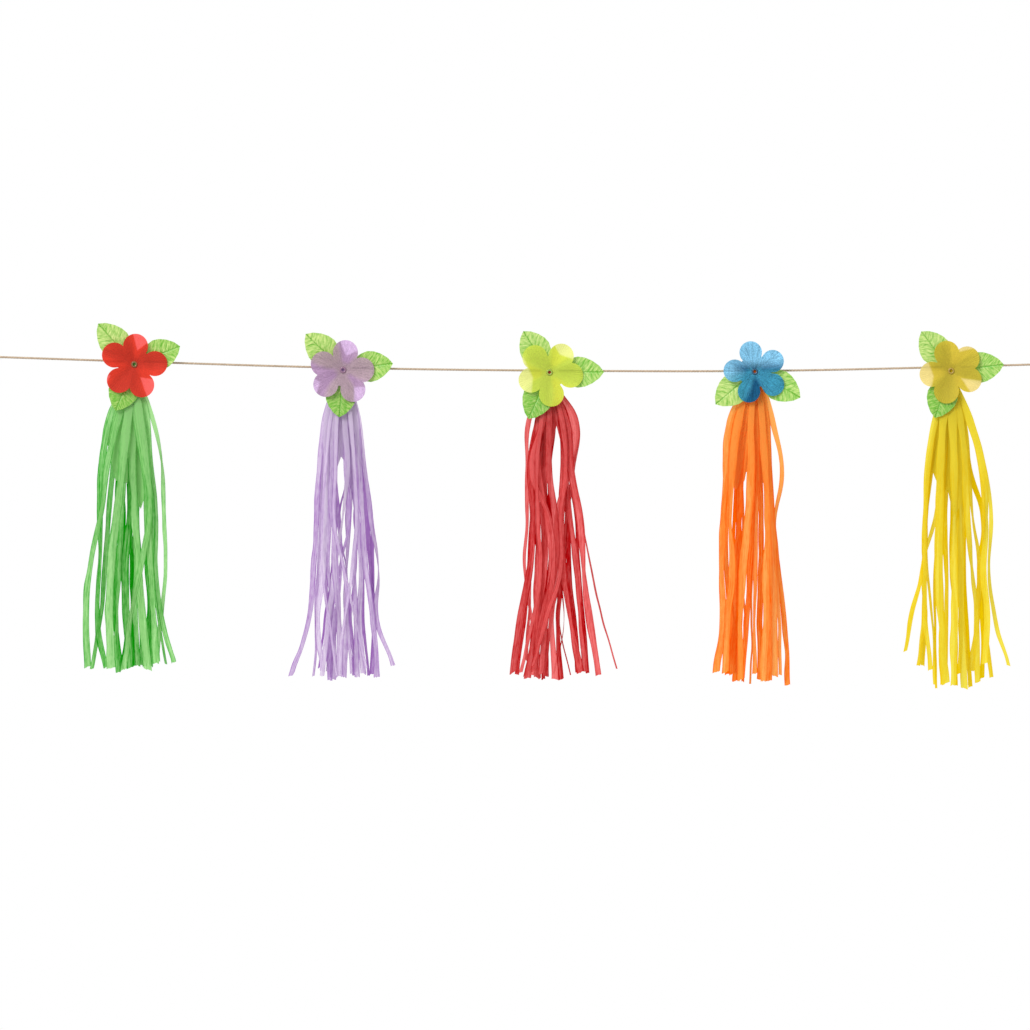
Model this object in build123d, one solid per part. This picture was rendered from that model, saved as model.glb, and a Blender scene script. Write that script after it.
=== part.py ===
from build123d import *
import os
from collections import namedtuple
from math import atan2, cos, degrees, pi, radians, sin, sqrt, tan

os.makedirs("parts", exist_ok=True)

# Garland of five tissue paper tassels on a string, each with a fabric flower and leaf.
# Millimetres. +X runs along the string, -Y is the front and +Z is up.
# The origin is the outer end of the left knot, by which the garland is held.

# String, and the stopper knot that ends it on each side
STRING_D = 1.8
STRING_SIDES = 8
RIGHT_HOLD = (856.0, -6.0)
KNOT_L = 6.0
KNOT_D = 5.6
KNOT_END_D = 3.8
KNOT_CROWN_L = 2.0
KNOT_SIDES = 8
ARC_SHARE = 0.45

# Tassel head: the tissue folded over the string and gathered under it
FOLD_CLEARANCE = 0.3
FOLD_REST_GAP = 0.01
FOLD_WALL = 3.8
HEAD_W = 15.0
HEAD_DROP = 7.0
PLEATS = 4
PLEAT_DEEP = 0.7
FOLD_FACETS = 4
ROOT_W = 15.0
ROOT_DEEP = 9.0
ROOT_H = 4.0

# Neck tie: a paper band wound round the gathered neck
TIE_W = 12.0
TIE_H = 4.0
TIE_T = 0.8
TIE_CLEARANCE = 0.1
TIE_SUNK = 0.2

# Fringe: strips cut in the hanging tissue
PAPER_T = 0.25
STRIP_NECK_DROP = 12.5
STRIP_NECK_W = 3.0
STRIP_NECK_DEEP = 8.0
NECK_GATHER = 0.25
FOOT_DEEP = 36.0
SKIRT_NECK_W = 12.0
SKIRT_SHARES = (0.25, 0.75)
LEVEL_DROPS = (40.0, 80.0, 120.0, 160.0, 200.0)
LEVEL_DEEPS = (14.0, 22.0, 28.0, 32.0, 34.0)

# Leaf: pointed leaves cut in one piece, each folded along its midrib
LEAF_T = 0.4
LEAF_HUB_R = 7.0
LEAF_ROOT_X = 5.5
LEAF_W = 25.0
LEAF_FOLD = 8.0
LEAF_TILT = 6.0
LEAF_HUB_EDGES = 12

# Flower: five round petals cut in one piece, cupped towards the front
PETAL_T = 0.35
PETAL_R = 10.0
FLOWER_HUB_R = 3.2
FLOWER_CORE_R = 13.0
FLOWER_CUP = 16.0
PETAL_EDGES = 16

# Leaf outline: share of the length from root to tip, and share of the half-width there
LEAF_OUTLINE = ((0.0, 0.36), (0.14, 0.66), (0.3, 0.89), (0.45, 1.0),
                (0.6, 0.93), (0.75, 0.73), (0.9, 0.4), (1.0, 0.0))

# Eyelet: a flanged plastic bush that holds flower and leaf on the tassel head
EYELET_FLANGE_R = 2.8
EYELET_FLANGE_T = 0.8
EYELET_STEM_R = 2.0
EYELET_BORE_R = 1.2
EYELET_SUNK = 2.4
EYELET_CLEARANCE = 0.1
EYELET_SIDES = 16

# A strip has its width, its sideways offsets at the five levels, and its foot.
# Strips are listed from the front of the tassel to its back.
Strip = namedtuple("Strip", "width bows foot drop")
# A petal or a leaf has its direction, in degrees from +X towards +Z, and its reach.
Lobe = namedtuple("Lobe", "turn reach")
Tassel = namedtuple("Tassel", "name x z eyelet_shift eyelet_drop petals leaves hem strips")

GREEN_STRIPS = (
    Strip(6.0, (4.0, 9.5, 12.0, 6.0, -2.0), -8.5, 246),
    Strip(7.0, (-4.5, -9.0, -13.5, -18.0, -19.8), -17.5, 246),
    Strip(6.5, (2.5, 8.0, 11.5, 12.5, 15.5), 18.0, 242),
    Strip(5.5, (-11.0, -21.0, -26.5, -35.0, -38.5), -36.5, 245),
    Strip(4.0, (9.5, 13.3, 18.0, 17.0, 21.5), 32.0, 240),
    Strip(6.5, (-1.0, -1.5, 0.5, 3.0, 6.5), 12.0, 246),
    Strip(4.0, (10.5, 20.8, 23.0, 24.7, 22.0), 18.5, 242),
    Strip(5.0, (-17.5, -25.3, -27.0, -27.5, -30.0), -23.5, 245),
    Strip(6.0, (-1.5, -2.0, -4.0, -6.5, -6.0), -3.0, 245),
    Strip(5.5, (-5.0, -8.0, -10.0, -11.5, -13.5), -13.5, 249),
    Strip(4.5, (-9.0, -16.0, -20.0, -23.0, -26.5), -35.0, 245),
    Strip(5.5, (1.5, 2.0, 1.0, 2.0, 0.5), 2.5, 243),
    Strip(2.5, (6.0, 10.0, 13.0, 15.0, 18.5), 25.0, 241),
    Strip(5.5, (5.0, 9.0, 11.0, 10.0, 12.0), 7.5, 244),
    Strip(5.0, (3.0, 5.0, 3.0, 4.0, 5.5), 6.5, 243),
    Strip(4.5, (-2.0, -3.0, -4.0, -2.0, -2.0), -1.0, 244),
    Strip(4.0, (8.0, 12.0, 15.5, 14.5, 14.0), 13.0, 243),
    Strip(4.0, (-6.0, -11.0, -14.5, -15.5, -15.5), -10.0, 246),
)
LILAC_STRIPS = (
    Strip(6.5, (-8.0, -7.0, -7.5, -6.0, -3.0), -2.5, 247),
    Strip(5.5, (3.0, 3.0, -1.0, -7.0, -11.5), -17.5, 246),
    Strip(6.0, (-12.5, -13.5, -13.5, -15.5, -19.5), -17.0, 243),
    Strip(5.0, (-14.0, -19.0, -21.3, -23.3, -27.3), -41.5, 246),
    Strip(5.5, (10.5, 13.0, 15.5, 18.0, 23.5), 27.5, 248),
    Strip(4.5, (12.0, 17.0, 22.5, 29.0, 27.0), 40.0, 238),
    Strip(5.0, (8.0, 9.0, 11.5, 14.5, 13.5), 16.5, 245),
    Strip(5.0, (1.0, 5.0, 11.5, 8.5, 10.5), 11.5, 248),
    Strip(3.0, (-13.0, -17.0, -18.0, -20.0, -21.0), -24.5, 247),
    Strip(6.0, (4.0, 6.0, 4.5, 3.0, 3.0), 0.5, 248),
    Strip(3.0, (6.0, 11.5, 11.0, 10.0, 6.0), 10.5, 243),
    Strip(5.0, (-9.5, -10.5, -10.5, -12.5, -8.0), -7.0, 249),
    Strip(4.5, (-4.0, -7.0, -3.5, -1.5, -6.0), -10.0, 249),
    Strip(5.0, (9.5, 15.5, 19.0, 21.5, 24.5), 23.0, 245),
    Strip(3.5, (10.0, 17.0, 22.8, 23.6, 24.5), 28.0, 246),
    Strip(3.0, (5.0, 8.0, 12.0, 15.5, 16.3), 19.5, 247),
    Strip(3.5, (-10.0, -11.0, -12.0, -13.5, -13.0), -11.0, 248),
)
RED_STRIPS = (
    Strip(6.0, (0.0, -1.5, 4.0, 4.5, -5.5), -12.0, 240),
    Strip(6.5, (13.0, 17.5, 25.0, 28.3, 33.0), 39.0, 244),
    Strip(6.0, (20.0, 16.5, 6.5, 5.5, 2.0), 5.0, 247),
    Strip(6.0, (-8.0, -14.5, -13.0, -15.5, -22.5), -28.5, 242),
    Strip(6.5, (10.0, 12.5, 9.5, 11.5, 16.5), 25.5, 242),
    Strip(6.0, (-6.0, -11.0, -9.5, -9.0, -11.0), -16.0, 246),
    Strip(5.0, (10.0, 13.0, 17.0, 22.8, 25.0), 29.0, 241),
    Strip(4.5, (-14.0, -17.0, -16.5, -19.8, -14.0), -9.0, 246),
    Strip(6.0, (-1.0, -4.0, -4.0, -3.5, -10.0), -9.0, 246),
    Strip(3.5, (22.0, 19.0, 14.0, 10.0, 1.0), -3.0, 245),
    Strip(1.6, (15.0, 19.5, 26.5, 34.3, 43.0), 54.0, 238),
    Strip(5.5, (7.0, 12.0, 13.5, 11.0, 6.5), 10.0, 247),
    Strip(3.0, (-10.0, -16.0, -14.0, -15.0, -17.0), -18.5, 232),
    Strip(6.0, (-4.0, -7.0, -2.5, -6.0, -4.0), -3.0, 245),
    Strip(1.2, (5.0, 10.0, 9.0, 9.0, 8.0), 17.0, 243),
    Strip(4.0, (6.0, 0.0, 1.0, 0.5, -3.0), -5.0, 246),
    Strip(3.5, (15.0, 17.5, 21.0, 24.0, 27.5), 31.0, 242),
    Strip(3.5, (-9.0, -13.0, -14.0, -16.0, -20.0), -24.5, 243),
    Strip(4.0, (9.0, 12.0, 15.5, 16.5, 20.5), 24.0, 241),
)
ORANGE_STRIPS = (
    Strip(6.5, (-5.0, -4.7, -7.0, -11.0, -13.0), -14.0, 248),
    Strip(6.0, (4.0, 6.5, 8.0, 7.5, 7.5), 5.0, 249),
    Strip(6.5, (-15.0, -20.0, -21.5, -19.5, -23.5), -25.0, 241),
    Strip(6.0, (-21.5, -25.0, -27.3, -28.3, -27.3), -31.5, 240),
    Strip(4.5, (-1.0, 0.5, -1.0, -1.5, -2.8), -1.5, 242),
    Strip(6.5, (6.5, 8.5, 11.5, 13.0, 13.5), 14.0, 244),
    Strip(3.5, (12.5, 20.0, 14.5, 15.0, 17.5), 18.0, 243),
    Strip(6.0, (-10.5, -13.0, -14.8, -17.5, -18.5), -20.0, 242),
    Strip(5.0, (-2.0, -1.5, -3.5, -5.8, -8.3), -12.0, 246),
    Strip(4.5, (8.0, 10.0, 13.5, 17.2, 22.0), 25.0, 251),
    Strip(6.0, (5.0, 8.0, 9.5, 10.0, 10.0), 9.5, 248),
    Strip(1.8, (0.0, 0.0, -2.5, -3.5, -4.0), -5.0, 250),
    Strip(6.0, (-18.0, -22.0, -25.0, -24.0, -20.0), -17.0, 242),
    Strip(6.0, (-13.0, -16.0, -15.0, -14.0, -14.0), -16.0, 247),
    Strip(5.0, (0.5, 2.0, 3.5, 3.0, 2.8), 2.0, 246),
    Strip(4.0, (-12.0, -16.0, -18.5, -20.0, -21.0), -23.0, 243),
)
YELLOW_STRIPS = (
    Strip(7.0, (-6.0, -8.5, -9.0, -9.5, -8.5), -3.5, 253),
    Strip(6.5, (1.0, 2.5, 2.5, 2.5, 3.0), 1.0, 254),
    Strip(6.0, (12.5, 23.5, 28.0, 26.0, 29.0), 27.0, 238),
    Strip(6.0, (7.0, 11.5, 13.0, 17.0, 20.0), 21.0, 251),
    Strip(5.0, (-12.0, -18.5, -21.0, -21.5, -21.0), -17.0, 242),
    Strip(6.0, (4.5, 8.0, 8.0, 8.0, 8.0), 11.0, 257),
    Strip(4.0, (15.0, 26.5, 32.0, 30.0, 35.0), 45.5, 238),
    Strip(4.0, (-9.0, -17.0, -20.0, -22.5, -31.5), -37.0, 227),
    Strip(5.0, (-3.5, -6.0, -7.5, -8.0, -7.5), -7.0, 254),
    Strip(4.0, (-11.0, -16.0, -20.5, -22.0, -22.0), -26.5, 239),
    Strip(5.5, (9.0, 13.5, 17.0, 22.5, 21.0), 16.5, 243),
    Strip(4.0, (-4.0, -8.0, -12.5, -22.5, -20.5), -23.0, 238),
    Strip(3.0, (-10.0, -18.0, -20.0, -19.5, -15.5), -13.5, 255),
    Strip(4.0, (11.0, 20.0, 25.0, 26.0, 27.5), 32.0, 248),
    Strip(3.0, (5.0, 9.0, 10.0, 9.5, 10.0), 15.0, 254),
    Strip(5.0, (3.0, 5.0, 5.5, 6.0, 7.5), 6.0, 245),
    Strip(3.0, (-9.0, -15.0, -19.0, -20.5, -21.0), -22.0, 240),
    Strip(4.5, (-2.5, -3.5, -4.5, -4.0, -4.0), -5.0, 252),
    Strip(4.5, (9.0, 14.0, 20.0, 21.5, 24.5), 25.0, 249),
    Strip(4.0, (6.0, 9.5, 10.8, 10.3, 12.0), 15.5, 256),
)

# Where the uncut tissue ends and the slits begin, from left to right: offset and drop
GREEN_HEM = ((-22.0, 62.0), (-15.0, 95.0), (-6.0, 97.0), (-1.0, 104.0), (5.5, 118.0), (11.0, 100.0),
    (13.0, 60.0))
LILAC_HEM = ((-17.0, 60.0), (-9.0, 90.0), (-4.0, 64.0), (2.0, 66.0), (6.0, 61.0), (10.0, 90.0),
    (15.0, 62.0))
RED_HEM = ((-13.0, 52.0), (-9.0, 80.0), (-3.0, 75.0), (2.5, 60.0), (6.0, 44.0), (10.0, 60.0),
    (16.0, 62.0), (20.0, 50.0))
ORANGE_HEM = ((-24.0, 80.0), (-17.0, 95.0), (-10.0, 70.0), (-6.6, 67.0), (-3.0, 90.0), (1.0, 100.0),
    (4.8, 89.0), (8.0, 100.0), (11.0, 46.0))
YELLOW_HEM = ((-18.0, 75.0), (-13.0, 88.0), (-8.0, 100.0), (-2.7, 98.0), (2.0, 120.0), (8.0, 110.0),
    (11.0, 60.0), (12.0, 48.0))

# The tassels from left to right: where each hangs on the string, how far its eyelet is from
# that point sideways and down, and which way its petals and leaves point
TASSELS = (
    Tassel("green_tassel", 123.2, -4.2, 0.2, 2.2,
           (Lobe(2, 26.5), Lobe(86, 24.5), Lobe(155, 27.5), Lobe(227, 27.5), Lobe(290, 27.5)),
           (Lobe(21.6, 39.4), Lobe(131.5, 43.6), Lobe(248, 40.0)),
           GREEN_HEM, GREEN_STRIPS),
    Tassel("lilac_tassel", 290.4, -9.5, 0.0, 1.7,
           (Lobe(0, 25.0), Lobe(82, 24.0), Lobe(163, 26.5), Lobe(220, 28.0), Lobe(297, 27.5)),
           (Lobe(7.4, 40.3), Lobe(136, 41.5), Lobe(265.5, 38.0)),
           LILAC_HEM, LILAC_STRIPS),
    Tassel("red_tassel", 455.2, -11.6, 0.4, 1.3,
           (Lobe(-8, 27.0), Lobe(54, 26.0), Lobe(135, 26.5), Lobe(203, 26.0), Lobe(275, 27.5)),
           (Lobe(0.4, 43.7), Lobe(122.5, 39.0), Lobe(245.7, 41.0)),
           RED_HEM, RED_STRIPS),
    Tassel("orange_tassel", 621.6, -12.1, -1.8, 0.4,
           (Lobe(30, 25.5), Lobe(102, 24.5), Lobe(178, 25.0), Lobe(254, 25.5), Lobe(324, 27.0)),
           (Lobe(-29.8, 42.1), Lobe(220, 41.0)),
           ORANGE_HEM, ORANGE_STRIPS),
    Tassel("yellow_tassel", 776.8, -8.6, 0.1, 3.1,
           (Lobe(-26, 26.0), Lobe(37, 26.0), Lobe(104, 24.5), Lobe(190, 25.5), Lobe(257, 26.5)),
           (Lobe(7, 42.5), Lobe(127, 39.6), Lobe(251, 39.8)),
           YELLOW_HEM, YELLOW_STRIPS),
)

# Sizes that follow from the driving dimensions
STRING_R = STRING_D / 2
HEAD_R = STRING_R + FOLD_CLEARANCE + FOLD_WALL
TIE_DEEP = 2 * (HEAD_R - TIE_SUNK - TIE_T)
LEAF_BACK = HEAD_R
FLOWER_BACK = LEAF_BACK + LEAF_T
FLANGE_BACK = FLOWER_BACK + PETAL_T
STEM_HOLE_R = EYELET_STEM_R + EYELET_CLEARANCE
SKIRT_LEAN = (LEVEL_DEEPS[1] - STRIP_NECK_DEEP) / (LEVEL_DROPS[1] - STRIP_NECK_DROP)
CUP_SPAN = 4 * max(petal.reach for tassel in TASSELS for petal in tassel.petals)


def end_slope(hold, tassel):
    """Angle below the horizontal of the string from a held end to its nearest tassel."""
    return atan2(hold[1] - tassel.z, abs(tassel.x - hold[0]))


LEFT_SLOPE = end_slope((0, 0), TASSELS[0])
RIGHT_SLOPE = end_slope(RIGHT_HOLD, TASSELS[-1])
LEFT_END = (KNOT_L * cos(LEFT_SLOPE), 0, -KNOT_L * sin(LEFT_SLOPE))
RIGHT_END = (RIGHT_HOLD[0] - KNOT_L * cos(RIGHT_SLOPE), 0, RIGHT_HOLD[1] - KNOT_L * sin(RIGHT_SLOPE))


def string_path():
    """Straight runs from knot to knot over the tassels, eased by the largest arcs that fit."""
    points = [Vector(*LEFT_END)] + [Vector(t.x, 0, t.z) for t in TASSELS] + [Vector(*RIGHT_END)]
    radii = []
    for before, at, after in zip(points, points[1:], points[2:]):
        half_turn = radians((at - before).get_angle(after - at)) / 2
        radii.append(ARC_SHARE * min((at - before).length, (after - at).length) / tan(half_turn))
    print("string arc radii:", [round(r) for r in radii])
    return FilletPolyline(*points, radius=radii)


STRING_PATH = string_path()
STRING_BENDS = STRING_PATH.edges().filter_by(GeomType.CIRCLE).sort_by(Axis.X)
# The point of the string that each tassel is folded over
FOLDS = {tassel.name: bend @ 0.5 for tassel, bend in zip(TASSELS, STRING_BENDS)}
RUNS_ALONG = {tassel.name: bend % 0.5 for tassel, bend in zip(TASSELS, STRING_BENDS)}


def string_section(at, along, radius):
    """Many-sided section of the string, with a flat on top."""
    flat_on_top = 180 / STRING_SIDES
    return Plane(at, x_dir=(0, 1, 0), z_dir=along) * RegularPolygon(radius, STRING_SIDES, rotation=flat_on_top)


def knot():
    """Stopper knot with flat ends, from x = -KNOT_L to 0."""
    stations = ((-KNOT_L, KNOT_END_D), (-KNOT_L + KNOT_CROWN_L, KNOT_D),
                (-KNOT_CROWN_L, KNOT_D), (0, KNOT_END_D))
    return loft([Plane.YZ.offset(x) * RegularPolygon(d / 2, KNOT_SIDES) for x, d in stations], ruled=True)


def round_bar(radius, front, back):
    """Many-sided bar along Y between two distances from the string, front ones positive."""
    return extrude(Plane.XZ.offset(back) * RegularPolygon(radius, EYELET_SIDES), front - back)


def tassel_head():
    """Pleated tissue folded over the string, its tied waist and the root of the fringe."""
    step = HEAD_W / (2 * PLEATS)
    front = [(-HEAD_W / 2 + i * step, -HEAD_R + PLEAT_DEEP * (i % 2)) for i in range(2 * PLEATS + 1)]
    back = [(x, -y) for x, y in reversed(front)]
    pleats = extrude(make_face(Polyline(*front, *back, close=True)), HEAD_R + HEAD_DROP)
    pleats = Pos(0, 0, -HEAD_DROP) * pleats
    crown = [(HEAD_R * cos(pi * i / FOLD_FACETS), HEAD_R * sin(pi * i / FOLD_FACETS))
             for i in range(FOLD_FACETS + 1)]
    outline = Polyline((HEAD_R, -HEAD_DROP), *crown, (-HEAD_R, -HEAD_DROP), close=True)
    fold = extrude(Plane.YZ * make_face(outline), HEAD_W, both=True)
    waist = Pos(0, 0, -HEAD_DROP - TIE_H / 2) * Box(TIE_W, TIE_DEEP, TIE_H)
    root = Pos(0, 0, -HEAD_DROP - TIE_H - ROOT_H / 2) * Box(ROOT_W, ROOT_DEEP, ROOT_H)
    return (pleats & fold) + waist + root


def neck_tie():
    outer = Box(TIE_W + 2 * TIE_T, TIE_DEEP + 2 * TIE_T, TIE_H - 2 * TIE_CLEARANCE)
    inner = Box(TIE_W + 2 * TIE_CLEARANCE, TIE_DEEP + 2 * TIE_CLEARANCE, TIE_H)
    return Pos(0, 0, -HEAD_DROP - TIE_H / 2 - TIE_CLEARANCE) * (outer - inner)


def paper_strip(strip, slot):
    """One strip of the fringe; slot runs from -0.5 at the tassel's front to 0.5 at its back."""
    drops = (STRIP_NECK_DROP,) + LEVEL_DROPS + (strip.drop,)
    deeps = (STRIP_NECK_DEEP,) + LEVEL_DEEPS + (FOOT_DEEP,)
    offsets = (NECK_GATHER * strip.bows[0],) + strip.bows + (strip.foot,)
    widths = (min(STRIP_NECK_W, strip.width),) + (strip.width,) * (len(LEVEL_DROPS) + 1)
    sections = [Plane((x, slot * deep, -drop)) * Rectangle(width, PAPER_T)
                for drop, deep, x, width in zip(drops, deeps, offsets, widths)]
    return loft(sections, ruled=True)


def uncut_skirt(hem, slot):
    """Tissue above the slits: a flat panel that leans out from the neck down to the slit tops."""
    lean = slot * SKIRT_LEAN
    slant = sqrt(1 + lean**2)
    sheet = Plane((0, slot * STRIP_NECK_DEEP, -STRIP_NECK_DROP), x_dir=(1, 0, 0), z_dir=(0, -1, -lean))
    corners = [(SKIRT_NECK_W / 2, 0), (-SKIRT_NECK_W / 2, 0)]
    corners += [(offset, (STRIP_NECK_DROP - drop) * slant) for offset, drop in hem]
    return extrude(sheet * make_face(Polyline(*corners, close=True)), PAPER_T / 2, both=True)


def tassel_body(tassel):
    """The whole tissue of one tassel, with the channel for the string and the eyelet's seat."""
    gaps = len(tassel.strips) - 1
    sheets = [paper_strip(strip, i / gaps - 0.5) for i, strip in enumerate(tassel.strips)]
    sheets += [uncut_skirt(tassel.hem, (int(share * gaps) + 0.5) / gaps - 0.5) for share in SKIRT_SHARES]
    seat = round_bar(STEM_HOLE_R, HEAD_R, HEAD_R - EYELET_SUNK)
    seat = Pos(tassel.eyelet_shift, 0, -tassel.eyelet_drop) * seat
    slack = FOLD_CLEARANCE * cos(pi / STRING_SIDES) - FOLD_REST_GAP
    section = string_section((0, 0, -slack), RUNS_ALONG[tassel.name], STRING_R + FOLD_CLEARANCE)
    channel = extrude(section, HEAD_W, both=True)
    return Pos(FOLDS[tassel.name]) * (tassel_head() - seat - channel + sheets)


def eyelet_place(tassel, front):
    """On the eyelet's axis, so far in front of the string."""
    return Pos(FOLDS[tassel.name]) * Pos(tassel.eyelet_shift, -front, -tassel.eyelet_drop)


def single_leaf(reach):
    """A pointed leaf along +X, folded into a shallow V along its midrib."""
    upper = [(share * (reach - LEAF_ROOT_X), part * LEAF_W / 2) for share, part in LEAF_OUTLINE]
    sides = upper + [(x, -z) for x, z in reversed(upper[:-1])]
    outline = extrude(Plane.XZ * make_face(Polyline(*sides, close=True)), LEAF_W, both=True)
    rise = LEAF_W * tan(radians(LEAF_FOLD))
    fold = Polyline((0, 0), (-rise, LEAF_W), (-rise - LEAF_T, LEAF_W), (-LEAF_T, 0),
                    (-rise - LEAF_T, -LEAF_W), (-rise, -LEAF_W), close=True)
    return outline & extrude(Plane.YZ * make_face(fold), reach)


def trefoil(tassel):
    """Leaves on one flat hub, seated on the front of the tassel head."""
    hub = extrude(Plane.XZ * RegularPolygon(LEAF_HUB_R, LEAF_HUB_EDGES), LEAF_T)
    tilted = Pos(LEAF_ROOT_X, 0, 0) * Rot(0, 0, -LEAF_TILT)
    leaves = [Rot(0, -leaf.turn, 0) * tilted * single_leaf(leaf.reach) for leaf in tassel.leaves]
    hole = round_bar(STEM_HOLE_R, LEAF_T, 0)
    return eyelet_place(tassel, LEAF_BACK) * (hub + leaves - hole)


def cup_hollow(tassel):
    """The space inside the cup: in front of the hub and of one sloping plane for each petal."""
    block = Box(CUP_SPAN, CUP_SPAN, CUP_SPAN)
    slope = radians(FLOWER_CUP)
    hollow = Pos(0, -PETAL_T - CUP_SPAN / 2, 0) * block
    for petal in tassel.petals:
        turn = radians(petal.turn)
        inward = (-cos(turn) * sin(slope), -cos(slope), -sin(turn) * sin(slope))
        hub_edge = Plane((FLOWER_HUB_R * cos(turn), -PETAL_T, FLOWER_HUB_R * sin(turn)), z_dir=inward)
        hollow &= hub_edge * Pos(0, 0, CUP_SPAN / 2) * block
    return hollow


def flower(tassel):
    """Five round petals, cut from a sheet that is flat at the hub and cupped beyond it."""
    petals = RegularPolygon(FLOWER_CORE_R, PETAL_EDGES)
    for petal in tassel.petals:
        lobe = RegularPolygon(PETAL_R, PETAL_EDGES)
        petals += Rot(0, 0, petal.turn) * Pos(petal.reach - PETAL_R, 0) * lobe
    cut_out = extrude(Plane.XZ * petals, CUP_SPAN / 4, both=True)
    hollow = cup_hollow(tassel)
    sheet = (cut_out & Pos(0, PETAL_T, 0) * hollow) - hollow - round_bar(STEM_HOLE_R, PETAL_T, 0)
    return eyelet_place(tassel, FLOWER_BACK) * sheet


def eyelet(tassel):
    """Flanged bush along Y: the flange in front of the flower, the stem sunk in the head."""
    front = FLANGE_BACK + EYELET_FLANGE_T
    back = HEAD_R - EYELET_SUNK
    bush = round_bar(EYELET_FLANGE_R, front, FLANGE_BACK) + round_bar(EYELET_STEM_R, FLANGE_BACK, back)
    bush -= round_bar(EYELET_BORE_R, front, back)
    return eyelet_place(tassel, 0) * bush


def save(shape, node):
    export_step(shape, f"parts/{node}.step")


left_turn = Location(LEFT_END, (0, degrees(LEFT_SLOPE), 0))
right_turn = Location(RIGHT_END, (0, 180 - degrees(RIGHT_SLOPE), 0))
for side, turn in (("left", left_turn), ("right", right_turn)):
    save(turn * knot(), f"{side}_knot")

section = string_section(STRING_PATH @ 0, STRING_PATH % 0, STRING_R)
tube = sweep(section, STRING_PATH)
print("string volume over section times length:", tube.volume / (section.area * STRING_PATH.length))
save(tube, "string")

for tassel in TASSELS:
    save(tassel_body(tassel), tassel.name)
    save(Pos(FOLDS[tassel.name]) * neck_tie(), f"{tassel.name}_neck_tie")
    save(trefoil(tassel), f"{tassel.name}_leaf")
    save(flower(tassel), f"{tassel.name}_flower")
    save(eyelet(tassel), f"{tassel.name}_eyelet")
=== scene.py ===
import math
import random
from collections import namedtuple

import bpy
import numpy as np
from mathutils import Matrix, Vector, noise


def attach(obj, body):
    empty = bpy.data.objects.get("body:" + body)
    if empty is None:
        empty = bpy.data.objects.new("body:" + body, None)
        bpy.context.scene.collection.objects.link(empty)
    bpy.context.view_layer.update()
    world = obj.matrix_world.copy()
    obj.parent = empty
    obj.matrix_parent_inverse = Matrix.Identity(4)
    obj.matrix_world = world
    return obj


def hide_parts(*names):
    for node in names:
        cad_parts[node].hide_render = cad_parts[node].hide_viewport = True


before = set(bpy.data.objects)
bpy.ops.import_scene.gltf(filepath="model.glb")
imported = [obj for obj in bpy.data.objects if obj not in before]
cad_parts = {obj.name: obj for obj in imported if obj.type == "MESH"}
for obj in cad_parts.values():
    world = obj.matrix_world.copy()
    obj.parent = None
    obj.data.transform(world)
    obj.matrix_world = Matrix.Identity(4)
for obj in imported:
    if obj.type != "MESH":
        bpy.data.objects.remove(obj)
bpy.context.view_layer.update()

# Garland of tissue paper tassels on a string. Sizes are in millimetres, +X runs along the string, -Y is the
# front, +Z is up, and the origin is the outer end of the left knot.
MM = 0.001

# String and end knots; the route has the inner end of each knot and the fold of each tassel
STRING_D = 1.8
STRING_ROUTE = ((6.0, 0.0, -0.2), (123.2, 0.0, -4.2), (290.4, 0.0, -9.5), (455.2, 0.0, -11.6),
                (621.6, 0.0, -12.1), (776.8, 0.0, -8.6), (850.0, 0.0, -6.2))
ROUTE_STEPS = 24
LEFT_END = (0.0, 0.0, 0.0)
RIGHT_END = (856.0, 0.0, -6.0)
TWINE_PLIES = 3
TWINE_SIDES = 18
TWINE_INPUTS = {"Step": 0.6 * MM, "Radius": STRING_D / 2 * MM, "Ply Depth": 0.22, "Turns": 900.0}
KNOT_END_R = 1.5
KNOT_SWELL = 1.25
KNOT_FULLNESS = 0.6
KNOT_WRAPS = 3
KNOT_WRAP_DEPTH = 0.28
KNOT_ROUNDING = 14
KNOT_TIP = 0.1

# Folded head, with pleats, and pinched where the tie pulls the neck in
HEAD_R = 5.0
HEAD_W = 15.0
HEAD_DROP = 7.0
HEAD_TAIL = 2.0
HEAD_PAPER = 0.5
HEAD_PLEATS = 9
PLEAT_INSET = 0.7
PLEAT_DEPTH = 0.55
PLEAT_STRAY = 0.2
PLEAT_STRAY_SCALE = (7.0, 0.15)
PINCH_REACH = 2.2
PINCH_W = 3.4
PINCH_SHARE = 0.24

# Band round the neck
TIE_H = 4.0
TIE_GAP = 0.1
TIE_HALF_W = 6.3
TIE_HALF_DEEP = 4.35
TIE_SQUARENESS = 4
TIE_BULGE = 0.35
TIE_RIDGES = 3
TIE_RIDGE_DEPTH = 0.12
TIE_SLOPE = 0.3

# Uncut skirt between the neck and the slits
SKIRT_NECK_W = 12.0
SKIRT_NECK_DEEP = 3.4
SKIRT_HEM_DEEP = 1.0
SKIRT_PLEATS = 6
SKIRT_PLEAT_DEPTH = 0.5
SKIRT_PLEAT_LOSS = 0.3
SKIRT_STRAY = 1.2
SKIRT_STRAY_SCALE = (5.0, 2.0)

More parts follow.
